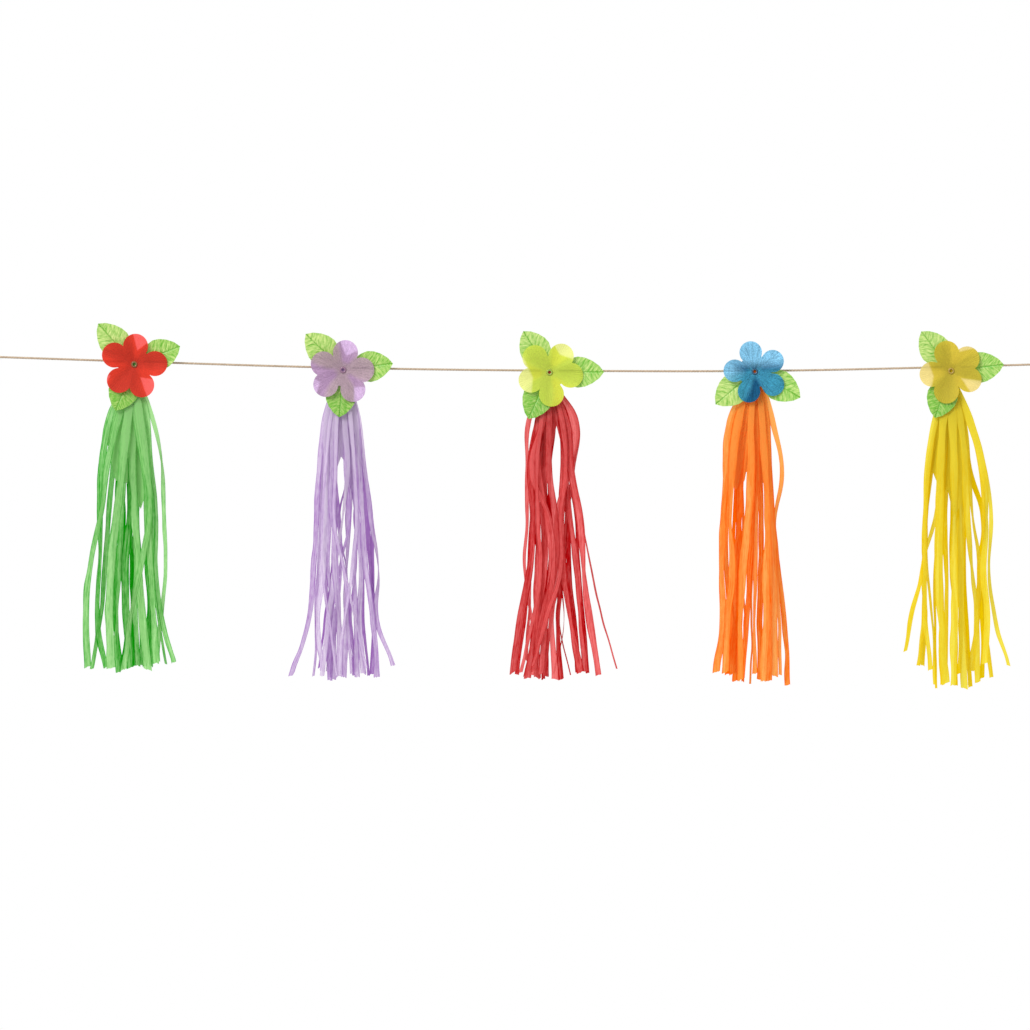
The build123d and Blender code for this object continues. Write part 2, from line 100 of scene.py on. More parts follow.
# Levels of the fringe: drop below the string, depth of the stack of strips, and how much wider a strip is
LEVEL_DROPS = (40.0, 80.0, 120.0, 160.0, 200.0)
LEVEL_DEEPS = (14.0, 22.0, 28.0, 32.0, 34.0)
LEVEL_EXTRA_W = (1.2, 0.4, 0.0, 0.0, 0.0)
STRIP_NECK_DROP = 12.5
STRIP_NECK_DEEP = 8.0
STRIP_NECK_W = 3.0
FOOT_DEEP = 36.0
STRIP_INPUTS = {"Step": 2.5 * MM, "Waver": 5.5 * MM, "Waver Scale": 24.0, "Narrowing": 0.3, "Cup": 0.14,
                "Slant": 1.1, "Ragged": 3.0 * MM}
STRIP_SECTION_STEPS = 6
WAVER_STEP = 7.31
CURL_START = 0.4
CURL_GAIN = 4.0
FOOT_POWER = 60.0
FRAY_SCALE = 700.0
FIRST_SEED = 11
# Turns of a strip about its length, in radians: at the neck, from level to level, and where an edge shows
NECK_TURN = 0.12
LEVEL_TURN = 0.16
EDGE_TURN = 0.9
EDGE_ON_TURN = 1.35
# Levels at which a strip may show its edge, drawn by chance; 0 stands for none
EDGE_DROPS = (0.0, 0.0) + LEVEL_DROPS[2:]
# Strips seen edge on at one level: the tassel and the strip's place in its table
EDGE_ON = {("green_tassel", 6): 80.0, ("lilac_tassel", 10): 160.0, ("yellow_tassel", 2): 120.0}

# Leaves: outline as share of length and share of half-width, then rib, side veins and wrinkles
LEAF_BACK = 5.0
LEAF_PLY = 0.2
LEAF_ROOT_X = 5.5
LEAF_TUCK = 2.0
LEAF_W = 25.0
LEAF_TIP_HALF_W = 0.02
LEAF_OUTLINE = ((0.0, 0.36), (0.14, 0.66), (0.3, 0.89), (0.45, 1.0), (0.6, 0.93), (0.75, 0.73), (0.9, 0.4),
                (1.0, 0.0))
LEAF_LIFT = 0.11
LEAF_FOLD = 0.14
LEAF_CURL = 0.7
LEAF_CURL_SCALE = (0.06, 0.09)
RIB_HALF_W = 0.5
VEIN_PITCH = 3.9
VEIN_SLOPE = 0.75
VEIN_STAGGER = 1.8
VEIN_STRAY = 1.6
VEIN_STRAY_SCALE = (0.12, 0.15)
VEIN_SHARE = 0.1
VEIN_FADE = 2.0
VEIN_STRENGTH = 0.75
VEIN_UNEVEN = 0.8
VEIN_UNEVEN_SCALE = (0.25, 0.2)
VEIN_DEPTH = 0.45
SIDE_VEIN = 0.8
WRINKLE_SCALE = (4.5, 0.35)
WRINKLE_DEPTH = 0.3
# The hub of the leaves, and the room that they leave for the flower in front of it
HUB_BORE_R = 2.2
HUB_R = 7.0
HUB_FRONT = 0.15
HUB_PLY = 0.1
HUB_REACH = 9.0
FLOWER_ROOM = 0.12
FLOWER_ROOM_R = 5.0

# Flowers: petals are round lobes about a core, cupped from a flat middle, with pressed rays and a falling rim
FLOWER_BACK = 5.4
FLOWER_PLY = 0.3
FLOWER_HOLE_R = 2.0
FLOWER_CORE_R = 13.0
FLOWER_FLAT_R = 3.2
FLOWER_UV_R = 27.0
CUP_SLOPE = 0.26
CUP_VARY = 0.07
RAYS = 95
RAY_DEPTH = 0.1
RAY_FULL_R = 12.0
RAY_STRAY = 2.0
RAY_STRAY_SCALE = (0.2, 0.2)
PETAL_CURL = 0.9
PETAL_CURL_SCALE = (0.09, 0.09)
PETAL_CURL_OWN = 5.0
RIM_R = 20.0
RIM_FALL = 0.02
LEAF_EDGE_BLUR = 4.0

# Eyelets: radius and depth from the stem's bore over the domed ring and back along the stem
EYELET_R = 2.6
EYELET_BORE_R = 1.2
EYELET_STEM_R = 2.0
EYELET_STEM_Y = -2.8
EYELET_CREST_R = 2.0
EYELET_PROFILE = ((EYELET_BORE_R, EYELET_STEM_Y), (EYELET_BORE_R, -6.3), (EYELET_BORE_R + 0.25, -6.55),
                  (EYELET_CREST_R, -6.65), (EYELET_R - 0.35, -6.5), (EYELET_R, -6.15), (EYELET_R, -5.78),
                  (EYELET_STEM_R, -5.75), (EYELET_STEM_R, EYELET_STEM_Y))

# View, light and floor
VIEW_W = 824.0
VIEW_CENTRE = (428.0, -126.9)
VIEW_AWAY = 3000.0
VIEW_FAR = 20000.0
SURROUND_LIGHT = 0.86
SEEN_LIGHT = 1.0
KEY_LIGHT = 2.4
KEY_SPREAD = 25
KEY_TURNS = (55, -20, -20)
FLOOR_SIZE = 16000.0
FLOOR_DROP = 560.0
FLOOR_GREY = 0.72

# A strip has its width, its sideways offsets at the five levels, and the offset and drop of its foot.
# A lobe is a petal or a leaf, by its direction in degrees and its reach from the eyelet.
# A wedge is a part of a flower with nothing behind it: the direction and radius of its apex, its axis and
# half-angle in degrees, and the width over which its border fades.
Strip = namedtuple("Strip", "width bows foot drop")
Lobe = namedtuple("Lobe", "turn reach")
Wedge = namedtuple("Wedge", "apex_turn apex_r axis half_angle fade")
Tassel = namedtuple("Tassel", "name x z neck_gather strip_trim strips hem "
                              "eyelet_shift eyelet_drop petal_r petals leaves")
Look = namedtuple("Look", "lit deep top_light eyelet fabric backed unbacked leafed streak bare")
Finish = namedtuple("Finish", "roughness sheen pass_share bump bump_height")

# Strips of each tassel, front ones first
GREEN_STRIPS = (
    Strip(6.0, (4.0, 9.5, 12.0, 6.0, -2.0), -8.5, 246),
    Strip(7.0, (-4.5, -9.0, -13.5, -18.0, -19.8), -17.5, 246),
    Strip(6.5, (2.5, 8.0, 11.5, 12.5, 15.5), 18.0, 242),
    Strip(5.5, (-11.0, -21.0, -26.5, -35.0, -38.5), -36.5, 245),
    Strip(4.0, (9.5, 13.3, 18.0, 17.0, 21.5), 32.0, 240),
    Strip(6.5, (-1.0, -1.5, 0.5, 3.0, 6.5), 12.0, 246),
    Strip(4.0, (13.0, 22.0, 23.6, 24.7, 22.0), 18.5, 242),
    Strip(5.0, (-17.5, -25.3, -27.0, -27.5, -30.0), -23.5, 245),
    Strip(6.0, (-1.5, -2.0, -4.0, -6.5, -6.0), -3.0, 245),
    Strip(5.5, (-5.0, -8.0, -10.0, -11.5, -13.5), -13.5, 249),
    Strip(4.5, (-9.0, -16.0, -20.0, -23.0, -26.5), -35.0, 245),
    Strip(5.5, (1.5, 2.0, 1.0, 2.0, 0.5), 2.5, 243),
    Strip(2.5, (6.0, 10.0, 13.0, 15.0, 18.5), 25.0, 241),
    Strip(5.5, (5.0, 9.0, 11.0, 10.0, 12.0), 7.5, 244),
    Strip(5.0, (3.0, 5.0, 3.0, 4.0, 5.5), 6.5, 243),
    Strip(4.5, (-2.0, -3.0, -4.0, -2.0, -2.0), -1.0, 244),
    Strip(4.0, (8.0, 12.0, 15.5, 14.5, 14.0), 13.0, 243),
    Strip(4.0, (-6.0, -11.0, -14.5, -15.5, -15.5), -10.0, 246),
    Strip(2.0, (-7.0, -12.0, -7.0, -10.0, -6.0), -11.0, 248),
)
LILAC_STRIPS = (
    Strip(3.0, (-5.0, -6.0, -7.0, 0.0, 9.0), 18.0, 240),
    Strip(3.0, (6.0, 9.0, 11.0, 8.0, 2.0), -3.0, 243),
    Strip(2.5, (-10.0, -14.0, -17.0, -17.0, -11.0), -6.0, 246),
    Strip(3.5, (-8.0, -9.0, -9.0, 1.0, 4.0), 6.0, 245),
    Strip(6.5, (-6.4, -7.0, -7.5, -6.0, -3.0), -2.5, 247),
    Strip(5.5, (1.0, 3.6, -0.5, -7.0, -11.5), -17.5, 246),
    Strip(6.0, (-12.5, -13.5, -13.5, -15.5, -19.5), -17.0, 243),
    Strip(3.0, (3.0, 2.0, 5.0, -3.0, -9.0), -13.0, 243),
    Strip(5.0, (-14.0, -19.0, -21.3, -23.3, -27.3), -41.5, 246),
    Strip(5.5, (10.5, 13.0, 15.5, 18.0, 23.5), 27.5, 248),
    Strip(4.5, (12.0, 17.0, 22.5, 29.0, 27.0), 40.0, 238),
    Strip(5.0, (8.0, 9.0, 11.5, 14.5, 13.5), 16.5, 245),
    Strip(5.0, (1.0, 5.0, 11.5, 8.5, 10.5), 11.5, 248),
    Strip(3.0, (-13.0, -17.0, -18.0, -20.0, -21.0), -24.5, 247),
    Strip(6.0, (4.0, 6.0, 4.5, 3.0, 3.0), 0.5, 248),
    Strip(3.0, (6.0, 11.5, 11.0, 10.0, 6.0), 10.5, 243),
    Strip(5.0, (-9.5, -10.5, -10.5, -12.5, -8.0), -7.0, 249),
    Strip(4.5, (-4.0, -7.0, -3.5, -1.5, -6.0), -10.0, 249),
    Strip(5.0, (9.5, 15.5, 19.0, 21.5, 24.5), 23.0, 245),
    Strip(3.5, (10.0, 17.0, 22.8, 23.6, 24.5), 28.0, 246),
    Strip(3.0, (5.0, 8.0, 12.0, 15.5, 16.3), 19.5, 247),
    Strip(3.5, (-10.0, -11.0, -12.0, -13.5, -13.0), -11.0, 248),
    Strip(2.0, (2.0, 4.0, -3.0, 2.0, 6.0), 9.0, 246),
    Strip(2.2, (-6.0, -12.0, -5.0, -9.0, -14.0), -20.0, 241),
    Strip(1.8, (7.0, 14.0, 9.0, 17.0, 13.0), 18.0, 244),
)
RED_STRIPS = (
    Strip(3.5, (10.5, 13.0, 9.0, 9.0, -2.0), -14.0, 236),
    Strip(3.0, (-6.0, -10.0, -9.0, -6.0, -13.0), -22.0, 241),
    Strip(4.5, (-5.0, -13.5, 0.5, 3.0, -2.0), -6.0, 243),
    Strip(6.0, (0.0, 0.0, 5.0, 4.5, -5.5), -12.0, 240),
    Strip(6.5, (13.0, 17.5, 25.0, 28.3, 33.0), 39.0, 244),
    Strip(6.0, (20.0, 15.0, 6.0, 5.5, 2.0), 5.0, 247),
    Strip(4.0, (-8.5, -8.0, -1.5, 1.0, -7.0), -14.0, 244),
    Strip(6.0, (-8.0, -14.5, -13.0, -15.5, -22.5), -28.5, 242),
    Strip(6.5, (10.0, 12.5, 9.5, 11.5, 16.5), 25.5, 242),
    Strip(6.0, (-6.0, -11.0, -9.5, -9.0, -11.0), -16.0, 246),
    Strip(5.0, (10.0, 13.0, 17.0, 22.8, 25.0), 29.0, 241),
    Strip(3.0, (-16.0, -17.5, -17.5, -19.8, -14.0), -9.0, 246),
    Strip(6.0, (-1.0, -4.0, -4.0, -3.5, -10.0), -9.0, 246),
    Strip(3.5, (22.0, 19.0, 14.0, 10.0, 1.0), -3.0, 245),
    Strip(1.6, (15.0, 19.5, 26.5, 34.3, 43.0), 54.0, 238),
    Strip(5.5, (10.0, 12.0, 13.5, 11.0, 6.5), 10.0, 247),
    Strip(3.0, (-9.0, -15.5, -14.0, -15.0, -17.0), -18.5, 232),
    Strip(6.0, (-4.0, -7.0, -2.5, -6.0, -4.0), -3.0, 245),
    Strip(1.2, (8.5, 11.0, 9.0, 9.0, 8.0), 17.0, 243),
    Strip(4.0, (3.5, 0.0, 1.0, 0.5, -3.0), -5.0, 246),
    Strip(3.5, (15.0, 17.5, 21.0, 24.0, 27.5), 31.0, 242),
    Strip(3.5, (-9.0, -13.0, -14.0, -16.0, -20.0), -24.5, 243),
    Strip(4.0, (9.0, 12.0, 15.5, 16.5, 20.5), 24.0, 241),
    Strip(2.5, (-7.0, -9.0, -13.0, -7.0, -12.0), -19.0, 244),
    Strip(2.0, (3.0, -4.0, 2.0, 8.0, 12.0), 4.0, 242),
)
ORANGE_STRIPS = (
    Strip(6.5, (-5.0, -4.7, -7.0, -11.0, -13.0), -14.0, 248),
    Strip(6.0, (4.0, 6.5, 8.0, 7.5, 7.5), 5.0, 249),
    Strip(6.5, (-15.0, -20.0, -21.5, -19.5, -23.5), -25.0, 241),
    Strip(6.0, (-21.5, -25.0, -27.3, -28.3, -27.3), -31.5, 240),
    Strip(4.5, (-1.0, 0.5, -1.0, -1.5, -2.8), -1.5, 242),
    Strip(6.5, (6.5, 8.5, 11.5, 13.0, 13.5), 14.0, 244),
    Strip(3.5, (12.5, 20.0, 14.5, 15.0, 17.5), 18.0, 243),
    Strip(6.0, (-10.5, -13.0, -14.8, -17.5, -18.5), -20.0, 242),
    Strip(5.0, (-2.0, -1.5, -3.5, -5.8, -8.3), -12.0, 246),
    Strip(4.5, (8.0, 10.0, 13.5, 17.2, 22.0), 25.0, 251),
    Strip(6.0, (5.0, 8.0, 9.5, 10.0, 10.0), 9.5, 248),
    Strip(1.8, (0.0, 0.0, -2.5, -3.5, -4.0), -5.0, 250),
    Strip(6.0, (-18.0, -22.0, -25.0, -24.0, -20.0), -17.0, 242),
    Strip(6.0, (-13.0, -16.0, -15.0, -14.0, -14.0), -16.0, 247),
    Strip(5.0, (0.5, 2.0, 3.5, 3.0, 2.8), 2.0, 246),
    Strip(4.0, (-12.0, -16.0, -18.5, -20.0, -21.0), -23.0, 243),
    Strip(2.2, (-8.0, -12.0, -11.0, -13.0, -9.0), -10.5, 249),
)
YELLOW_STRIPS = (
    Strip(7.0, (-6.0, -8.5, -9.0, -9.5, -8.5), -3.5, 253),
    Strip(6.5, (1.0, 2.5, 2.5, 2.5, 3.0), 1.0, 254),
    Strip(6.0, (14.0, 25.0, 28.5, 26.0, 29.0), 27.0, 238),
    Strip(6.0, (7.0, 11.5, 13.0, 17.0, 20.0), 21.0, 251),
    Strip(5.0, (-12.0, -18.5, -21.0, -21.5, -21.0), -17.0, 242),
    Strip(6.0, (4.5, 8.0, 8.0, 8.0, 8.0), 11.0, 257),
    Strip(4.0, (15.0, 26.5, 32.0, 30.0, 35.0), 45.5, 238),
    Strip(4.0, (-9.0, -17.0, -20.0, -22.5, -31.5), -37.0, 227),
    Strip(5.0, (-3.5, -6.0, -7.5, -8.0, -7.5), -7.0, 254),
    Strip(4.0, (-11.0, -16.0, -20.5, -22.0, -22.0), -26.5, 239),
    Strip(5.5, (9.0, 13.5, 17.0, 22.5, 21.0), 16.5, 243),
    Strip(4.0, (-4.0, -8.0, -12.5, -22.5, -20.5), -23.0, 238),
    Strip(3.0, (-10.0, -18.0, -20.0, -19.5, -15.5), -13.5, 255),
    Strip(4.0, (14.0, 24.0, 26.0, 26.0, 27.5), 32.0, 248),
    Strip(3.0, (5.0, 9.0, 10.0, 9.5, 10.0), 15.0, 254),
    Strip(5.0, (3.0, 5.0, 5.5, 6.0, 7.5), 6.0, 245),
    Strip(3.0, (-9.0, -15.0, -19.0, -20.5, -21.0), -22.0, 240),
    Strip(4.5, (-2.5, -3.5, -4.5, -4.0, -4.0), -5.0, 252),
    Strip(4.5, (9.0, 14.5, 25.5, 22.0, 24.5), 25.0, 249),
    Strip(4.0, (6.0, 9.5, 10.8, 10.3, 12.0), 15.5, 256),
    Strip(3.0, (0.0, 0.3, 0.3, 0.3, 3.5), 5.0, 255),
    Strip(2.5, (-7.0, -9.5, -10.5, -13.0, -13.0), -12.5, 257),
)
# Where the uncut tissue ends and the slits begin, from left to right: offset and drop
GREEN_HEM = ((-22.0, 62.0), (-15.0, 95.0), (-6.0, 97.0), (-1.0, 104.0), (5.5, 118.0), (11.0, 100.0),
    (13.0, 60.0))
LILAC_HEM = ((-17.0, 60.0), (-9.0, 90.0), (-4.0, 78.0), (-1.5, 71.0), (2.0, 76.0), (6.0, 61.0), (10.0, 90.0),
    (15.0, 62.0))
RED_HEM = ((-10.5, 46.0), (-9.0, 80.0), (-3.0, 75.0), (2.5, 60.0), (6.0, 44.0), (10.0, 60.0),
    (16.0, 62.0), (20.0, 50.0))
ORANGE_HEM = ((-24.0, 80.0), (-17.0, 95.0), (-10.0, 88.0), (-8.5, 80.0), (-5.0, 92.0), (1.0, 100.0),
    (4.8, 89.0), (8.0, 100.0), (11.0, 46.0))
YELLOW_HEM = ((-18.0, 75.0), (-13.0, 88.0), (-8.0, 100.0), (-2.7, 98.0), (2.0, 120.0), (8.0, 110.0),
    (11.0, 60.0), (12.0, 48.0))

# The tassels from left to right, each at its fold over the string; flower and leaves lie about the eyelet
TASSELS = (
    Tassel("green_tassel", x=123.2, z=-4.17, neck_gather=0.25, strip_trim=1.04, strips=GREEN_STRIPS,
           hem=GREEN_HEM, eyelet_shift=0.2, eyelet_drop=2.2, petal_r=10.0,
           petals=(Lobe(2, 26.5), Lobe(86, 24.5), Lobe(155, 27.5), Lobe(227, 27.5), Lobe(290, 27.5)),
           leaves=(Lobe(21.6, 39.4), Lobe(131.5, 43.6), Lobe(248, 40.0))),
    Tassel("lilac_tassel", x=290.4, z=-9.15, neck_gather=0.5, strip_trim=0.92, strips=LILAC_STRIPS,
           hem=LILAC_HEM, eyelet_shift=0.0, eyelet_drop=1.7, petal_r=10.0,
           petals=(Lobe(0, 25.0), Lobe(82, 24.0), Lobe(163, 26.5), Lobe(220, 28.0), Lobe(297, 27.5)),
           leaves=(Lobe(7.4, 40.3), Lobe(136, 41.5), Lobe(265.5, 38.0))),
    Tassel("red_tassel", x=455.2, z=-11.42, neck_gather=0.25, strip_trim=1.0, strips=RED_STRIPS,
           hem=RED_HEM, eyelet_shift=0.4, eyelet_drop=1.3, petal_r=10.0,
           petals=(Lobe(-8, 27.0), Lobe(54, 26.0), Lobe(135, 26.5), Lobe(203, 26.0), Lobe(275, 27.5)),
           leaves=(Lobe(0.4, 43.7), Lobe(122.5, 39.0), Lobe(245.7, 41.0))),
    Tassel("orange_tassel", x=621.6, z=-11.65, neck_gather=0.5, strip_trim=1.0, strips=ORANGE_STRIPS,
           hem=ORANGE_HEM, eyelet_shift=-1.8, eyelet_drop=0.4, petal_r=9.0,
           petals=(Lobe(30, 25.5), Lobe(102, 24.5), Lobe(178, 25.0), Lobe(254, 25.5), Lobe(324, 27.0)),
           leaves=(Lobe(-29.8, 42.1), Lobe(220, 41.0))),
    Tassel("yellow_tassel", x=776.8, z=-8.51, neck_gather=0.25, strip_trim=0.98, strips=YELLOW_STRIPS,
           hem=YELLOW_HEM, eyelet_shift=0.1, eyelet_drop=3.1, petal_r=10.0,
           petals=(Lobe(-26, 26.0), Lobe(37, 26.0), Lobe(104, 24.5), Lobe(190, 25.5), Lobe(257, 26.5)),
           leaves=(Lobe(7, 42.5), Lobe(127, 39.6), Lobe(251, 39.8))),
)

# Colours from 0 to 255 and how they vary: the tissue goes from lit to deep by painted shade and random tone,
# and painted light makes it paler just below the neck by its top light; the petals hold painted light through
# them, changing where tissue, a leaf or nothing lies behind them
LOOKS = {
    "green_tassel": Look(
        lit=(163, 218, 141), deep=(8, 156, 4), top_light=0.7, eyelet=(118, 78, 42),
        fabric="fabric_red", backed=(214, 58, 40), unbacked=(238, 94, 90), leafed=(208, 58, 42),
        streak=0.5,
        bare=(Wedge(78, 11.5, 70, 34, 1.0), Wedge(-65, 11.5, -40, 31, 1.0), Wedge(205, 21.0, 205, 40, 1.0))),
    "lilac_tassel": Look(
        lit=(220, 206, 227), deep=(164, 114, 189), top_light=0.6, eyelet=(132, 98, 122),
        fabric="fabric_lilac", backed=(170, 138, 172), unbacked=(202, 172, 210),
        leafed=(182, 156, 170), streak=0.9,
        bare=(Wedge(78, 11.5, 68, 44, 1.5), Wedge(-57, 16.2, -45, 45, 1.5), Wedge(207, 20.8, 205, 50, 1.5))),
    "red_tassel": Look(
        lit=(232, 110, 109), deep=(186, 2, 9), top_light=0.0, eyelet=(140, 155, 62),
        fabric="fabric_lime", backed=(204, 214, 72), unbacked=(224, 228, 138),
        leafed=(198, 213, 82), streak=0.3,
        bare=(Wedge(60, 16.5, 50, 70, 1.5), Wedge(198, 14.0, 190, 75, 1.5))),
    "orange_tassel": Look(
        lit=(243, 164, 74), deep=(244, 106, 2), top_light=0.5, eyelet=(36, 74, 100),
        fabric="fabric_blue", backed=(14, 84, 124), unbacked=(124, 184, 216),
        leafed=(62, 146, 180), streak=1.7,
        bare=(Wedge(90, 5.0, 90, 89, 8.0), Wedge(178, 12.0, 172, 62, 12.0))),
    "yellow_tassel": Look(
        lit=(232, 217, 64), deep=(232, 198, 0), top_light=0.9, eyelet=(156, 130, 52),
        fabric="fabric_mustard", backed=(204, 182, 60), unbacked=(226, 206, 130),
        leafed=(198, 178, 58), streak=0.35,
        bare=(Wedge(66, 16.9, 55, 42, 1.5), Wedge(-36, 10.3, -32, 25, 1.5), Wedge(197, 14.7, 185, 75, 1.5))),
}
LEAF_COLOUR = (204, 222, 136)
# The vein colour is also the dark end of the leaves' painted shade
VEIN_AND_SHADE_COLOUR = (98, 168, 38)
TWINE_COLOUR = (214, 190, 162)
TWINE_HOLLOW_SHADE = 0.55

# Finishes, and the scale and share of the fine patterns in them
TISSUE_FINISH = Finish(roughness=0.85, sheen=0.02, pass_share=0.42, bump=0.3, bump_height=0.8)
PETAL_FINISH = Finish(roughness=0.6, sheen=0.12, pass_share=0.35, bump=0.4, bump_height=0.6)
LEAF_FINISH = Finish(roughness=0.38, sheen=0.5, pass_share=0.2, bump=0.2, bump_height=0.5)
TWINE_FINISH = Finish(roughness=0.85, sheen=0.15, pass_share=0.0, bump=0.5, bump_height=0.4)
EYELET_ROUGHNESS = 0.25
TISSUE_CLEAR = 0.22
CLEAR_WHITE = 0.12
GRAIN_STRETCH = (700.0, 700.0, 180.0)
GRAIN_SHARE = 0.9
GRAIN_RELIEF = 0.3
CREASE_STRETCH = (2.2, 5.0, 60.0)
CREASE_SCALE = 1.6
CREASE_SHADE_SHARE = 1.5
EDGE_POWER = 6.0
EDGE_SHADE_SHARE = 0.7
RAY_STRETCH = (70.0, 2.6, 1.0)
RAY_ROUGHNESS = 0.65
PETAL_WEAVE_SCALE = 1100.0
PETAL_WEAVE_SHARE = 0.7
STRING_SHADE = 0.16
LEAF_WEAVE_SCALE = 900.0
LEAF_WEAVE_SHARE = 0.5
FIBRE_SCALE = 900.0

# Tones, from 0 for the lit colour to 1 for the deep one. Painted shade: by place in the stack, in the head's
# pleat hollows, in the tie's fold lines, in leaf wrinkles and by a leaf's direction. Painted shade and light:
# across the skirt's pleats. Painted light: near the neck. Besides: a random tone for each strip, base tones,
# and the leaf veins.
BACK_SHADE = 1.15
OWN_TONE = 0.6
OWN_TONE_MIDDLE = 0.6
TOP_LIGHT_FADE = 3.0
HEAD_TONE = 0.35
PLEAT_HOLLOW_SHADE = 0.4
SKIRT_TONE = 0.3
SKIRT_TOP_LIGHT = 0.6
SKIRT_PLEAT_SHADE = 0.25
TIE_TONE = 0.3
TIE_FOLD_SHADE = 0.4
TIE_FOLD_ROWS = 4
VEIN_TONE = 0.5
WRINKLE_SHADE = 0.6
HUB_TONE = 0.2
# Painted shade on leaves: those that hang are the darkest, and those to the left the lightest
HANGING_TURNS = (230, 280)
HANGING_SHADE = 0.45
RIGHT_TURN = 30
RIGHT_SHADE = 0.3
LEFT_SHADE = 0.1


def linear(colour):
    """Colour in the linear values that light needs, from 0 to 255 values."""
    steps = [c / 255 for c in colour]
    return tuple(s / 12.92 if s <= 0.04045 else ((s + 0.055) / 1.055) ** 2.4 for s in steps) + (1.0,)


class Nodes:
    """Adds and joins the nodes of one material or node tree."""

    def __init__(self, tree):
        self.tree = tree

    def feed(self, socket, value):
        """Joins a socket to another one, or sets it to a plain value."""
        if isinstance(value, bpy.types.NodeSocket):
            self.tree.links.new(value, socket)
        else:
            socket.default_value = value

    def node(self, kind, inputs=None, **settings):
        made = self.tree.nodes.new(kind)
        for key, value in settings.items():
            setattr(made, key, value)
        for key, value in (inputs or {}).items():
            self.feed(made.inputs[key], value)
        return made

    def shape(self, kind, inputs=None, **settings):
        """First output of a geometry node."""
        return self.node("GeometryNode" + kind, inputs, **settings).outputs[0]

    def point(self, x=0.0, y=0.0, z=0.0):
        return self.node("ShaderNodeCombineXYZ", {0: x, 1: y, 2: z}).outputs[0]

    def math(self, operation, *values):
        return self.node("ShaderNodeMath", dict(enumerate(values)), operation=operation).outputs[0]

    def clamped(self, operation, *values):
        """As math, held between 0 and 1."""
        made = self.math(operation, *values)
        made.node.use_clamp = True
        return made

    def swing(self, value, share, middle=0.5):
        """How far a value lies from its middle, times a share."""
        return self.math("MULTIPLY", self.math("SUBTRACT", value, middle), share)

    def scaled(self, vector, factor):
        return self.node("ShaderNodeVectorMath", {0: vector, "Scale": factor}, operation="SCALE").outputs[0]

    def mix(self, share, first, second):
        """Two colours mixed; a mix of colours has them on its inputs 6 and 7 and gives output 2."""
        return self.node("ShaderNodeMix", {0: share, 6: first, 7: second}, data_type="RGBA").outputs[2]

    def attribute(self, name):
        return self.node("ShaderNodeAttribute", attribute_name=name).outputs["Fac"]

    def object_place(self):
        return self.node("ShaderNodeTexCoord").outputs["Object"]

    def stretched(self, place, scale):
        return self.node("ShaderNodeMapping", {"Vector": place, "Scale": scale}).outputs[0]

    def noise(self, place, scale, detail, roughness=0.5):
        inputs = {"Vector": place, "Scale": scale, "Detail": detail, "Roughness": roughness}
        return self.node("ShaderNodeTexNoise", inputs).outputs[0]

    def bump(self, height, finish):
        inputs = {"Height": height, "Strength": finish.bump, "Distance": finish.bump_height * MM}
        return self.node("ShaderNodeBump", inputs).outputs[0]

    def coat(self, colour, finish, normal):
        """The part of a surface that throws light back."""
        inputs = {"Base Color": colour, "Roughness": finish.roughness, "Specular IOR Level": finish.sheen,
                  "Normal": normal}
        return self.node("ShaderNodeBsdfPrincipled", inputs).outputs[0]

    def blend(self, share, first, second):
        return self.node("ShaderNodeMixShader", {0: share, 1: first, 2: second}).outputs[0]

    def surface(self, made):
        self.node("ShaderNodeOutputMaterial", {"Surface": made})


def new_material(name):
    material = bpy.data.materials.new(name)
    material.use_nodes = True
    material.node_tree.nodes.clear()
    return material, Nodes(material.node_tree)


def sheer(nodes, colour, finish, normal):
    """Thin stuff that lets part of the light through."""
    through = nodes.node("ShaderNodeBsdfTranslucent", {"Color": colour, "Normal": normal}).outputs[0]
    return nodes.blend(finish.pass_share, nodes.coat(colour, finish, normal), through)


def tissue_material(tassel):
    """Tissue paper: painted shade, deeper to the back of the tassel and at strip edges and creases; a soft
    grain.
    """
    material, nodes = new_material(tassel.name + "_tissue")
    look = LOOKS[tassel.name]
    lit = linear(look.lit)
    deep = linear(look.deep)
    across = nodes.attribute("across")
    measures = (across, nodes.attribute("along"), nodes.attribute("own"))
    strip_place = [nodes.math("MULTIPLY", m, stretch) for m, stretch in zip(measures, CREASE_STRETCH)]
    crease = nodes.noise(nodes.point(*strip_place), CREASE_SCALE, 3.0)
    grain = nodes.noise(nodes.stretched(nodes.object_place(), GRAIN_STRETCH), 1.0, 3.0)
    # The grain is the paper's own; the creases add painted shade and light of the folds.
    uneven = nodes.math("ADD", nodes.swing(grain, GRAIN_SHARE), nodes.swing(crease, CREASE_SHADE_SHARE))
    # Painted shade: strips darken towards their edges, where they curl and overlap.
    edge = nodes.math("POWER", nodes.math("ABSOLUTE", across), EDGE_POWER)
    tone = nodes.math("ADD", nodes.attribute("shade"), uneven)
    amount = nodes.clamped("ADD", tone, nodes.math("MULTIPLY", edge, EDGE_SHADE_SHARE))
    relief = nodes.math("ADD", crease, nodes.math("MULTIPLY", grain, GRAIN_RELIEF))
    paper = sheer(nodes, nodes.mix(amount, lit, deep), TISSUE_FINISH, nodes.bump(relief, TISSUE_FINISH))
    clear_lit = tuple(CLEAR_WHITE + (1 - CLEAR_WHITE) * c for c in lit)
    clear_deep = tuple((1 - CLEAR_WHITE) * c for c in deep)
    tint = nodes.mix(amount, clear_lit, clear_deep)
    clear = nodes.node("ShaderNodeBsdfTransparent", {"Color": tint}).outputs[0]
    nodes.surface(nodes.blend(TISSUE_CLEAR, paper, clear))
    return material


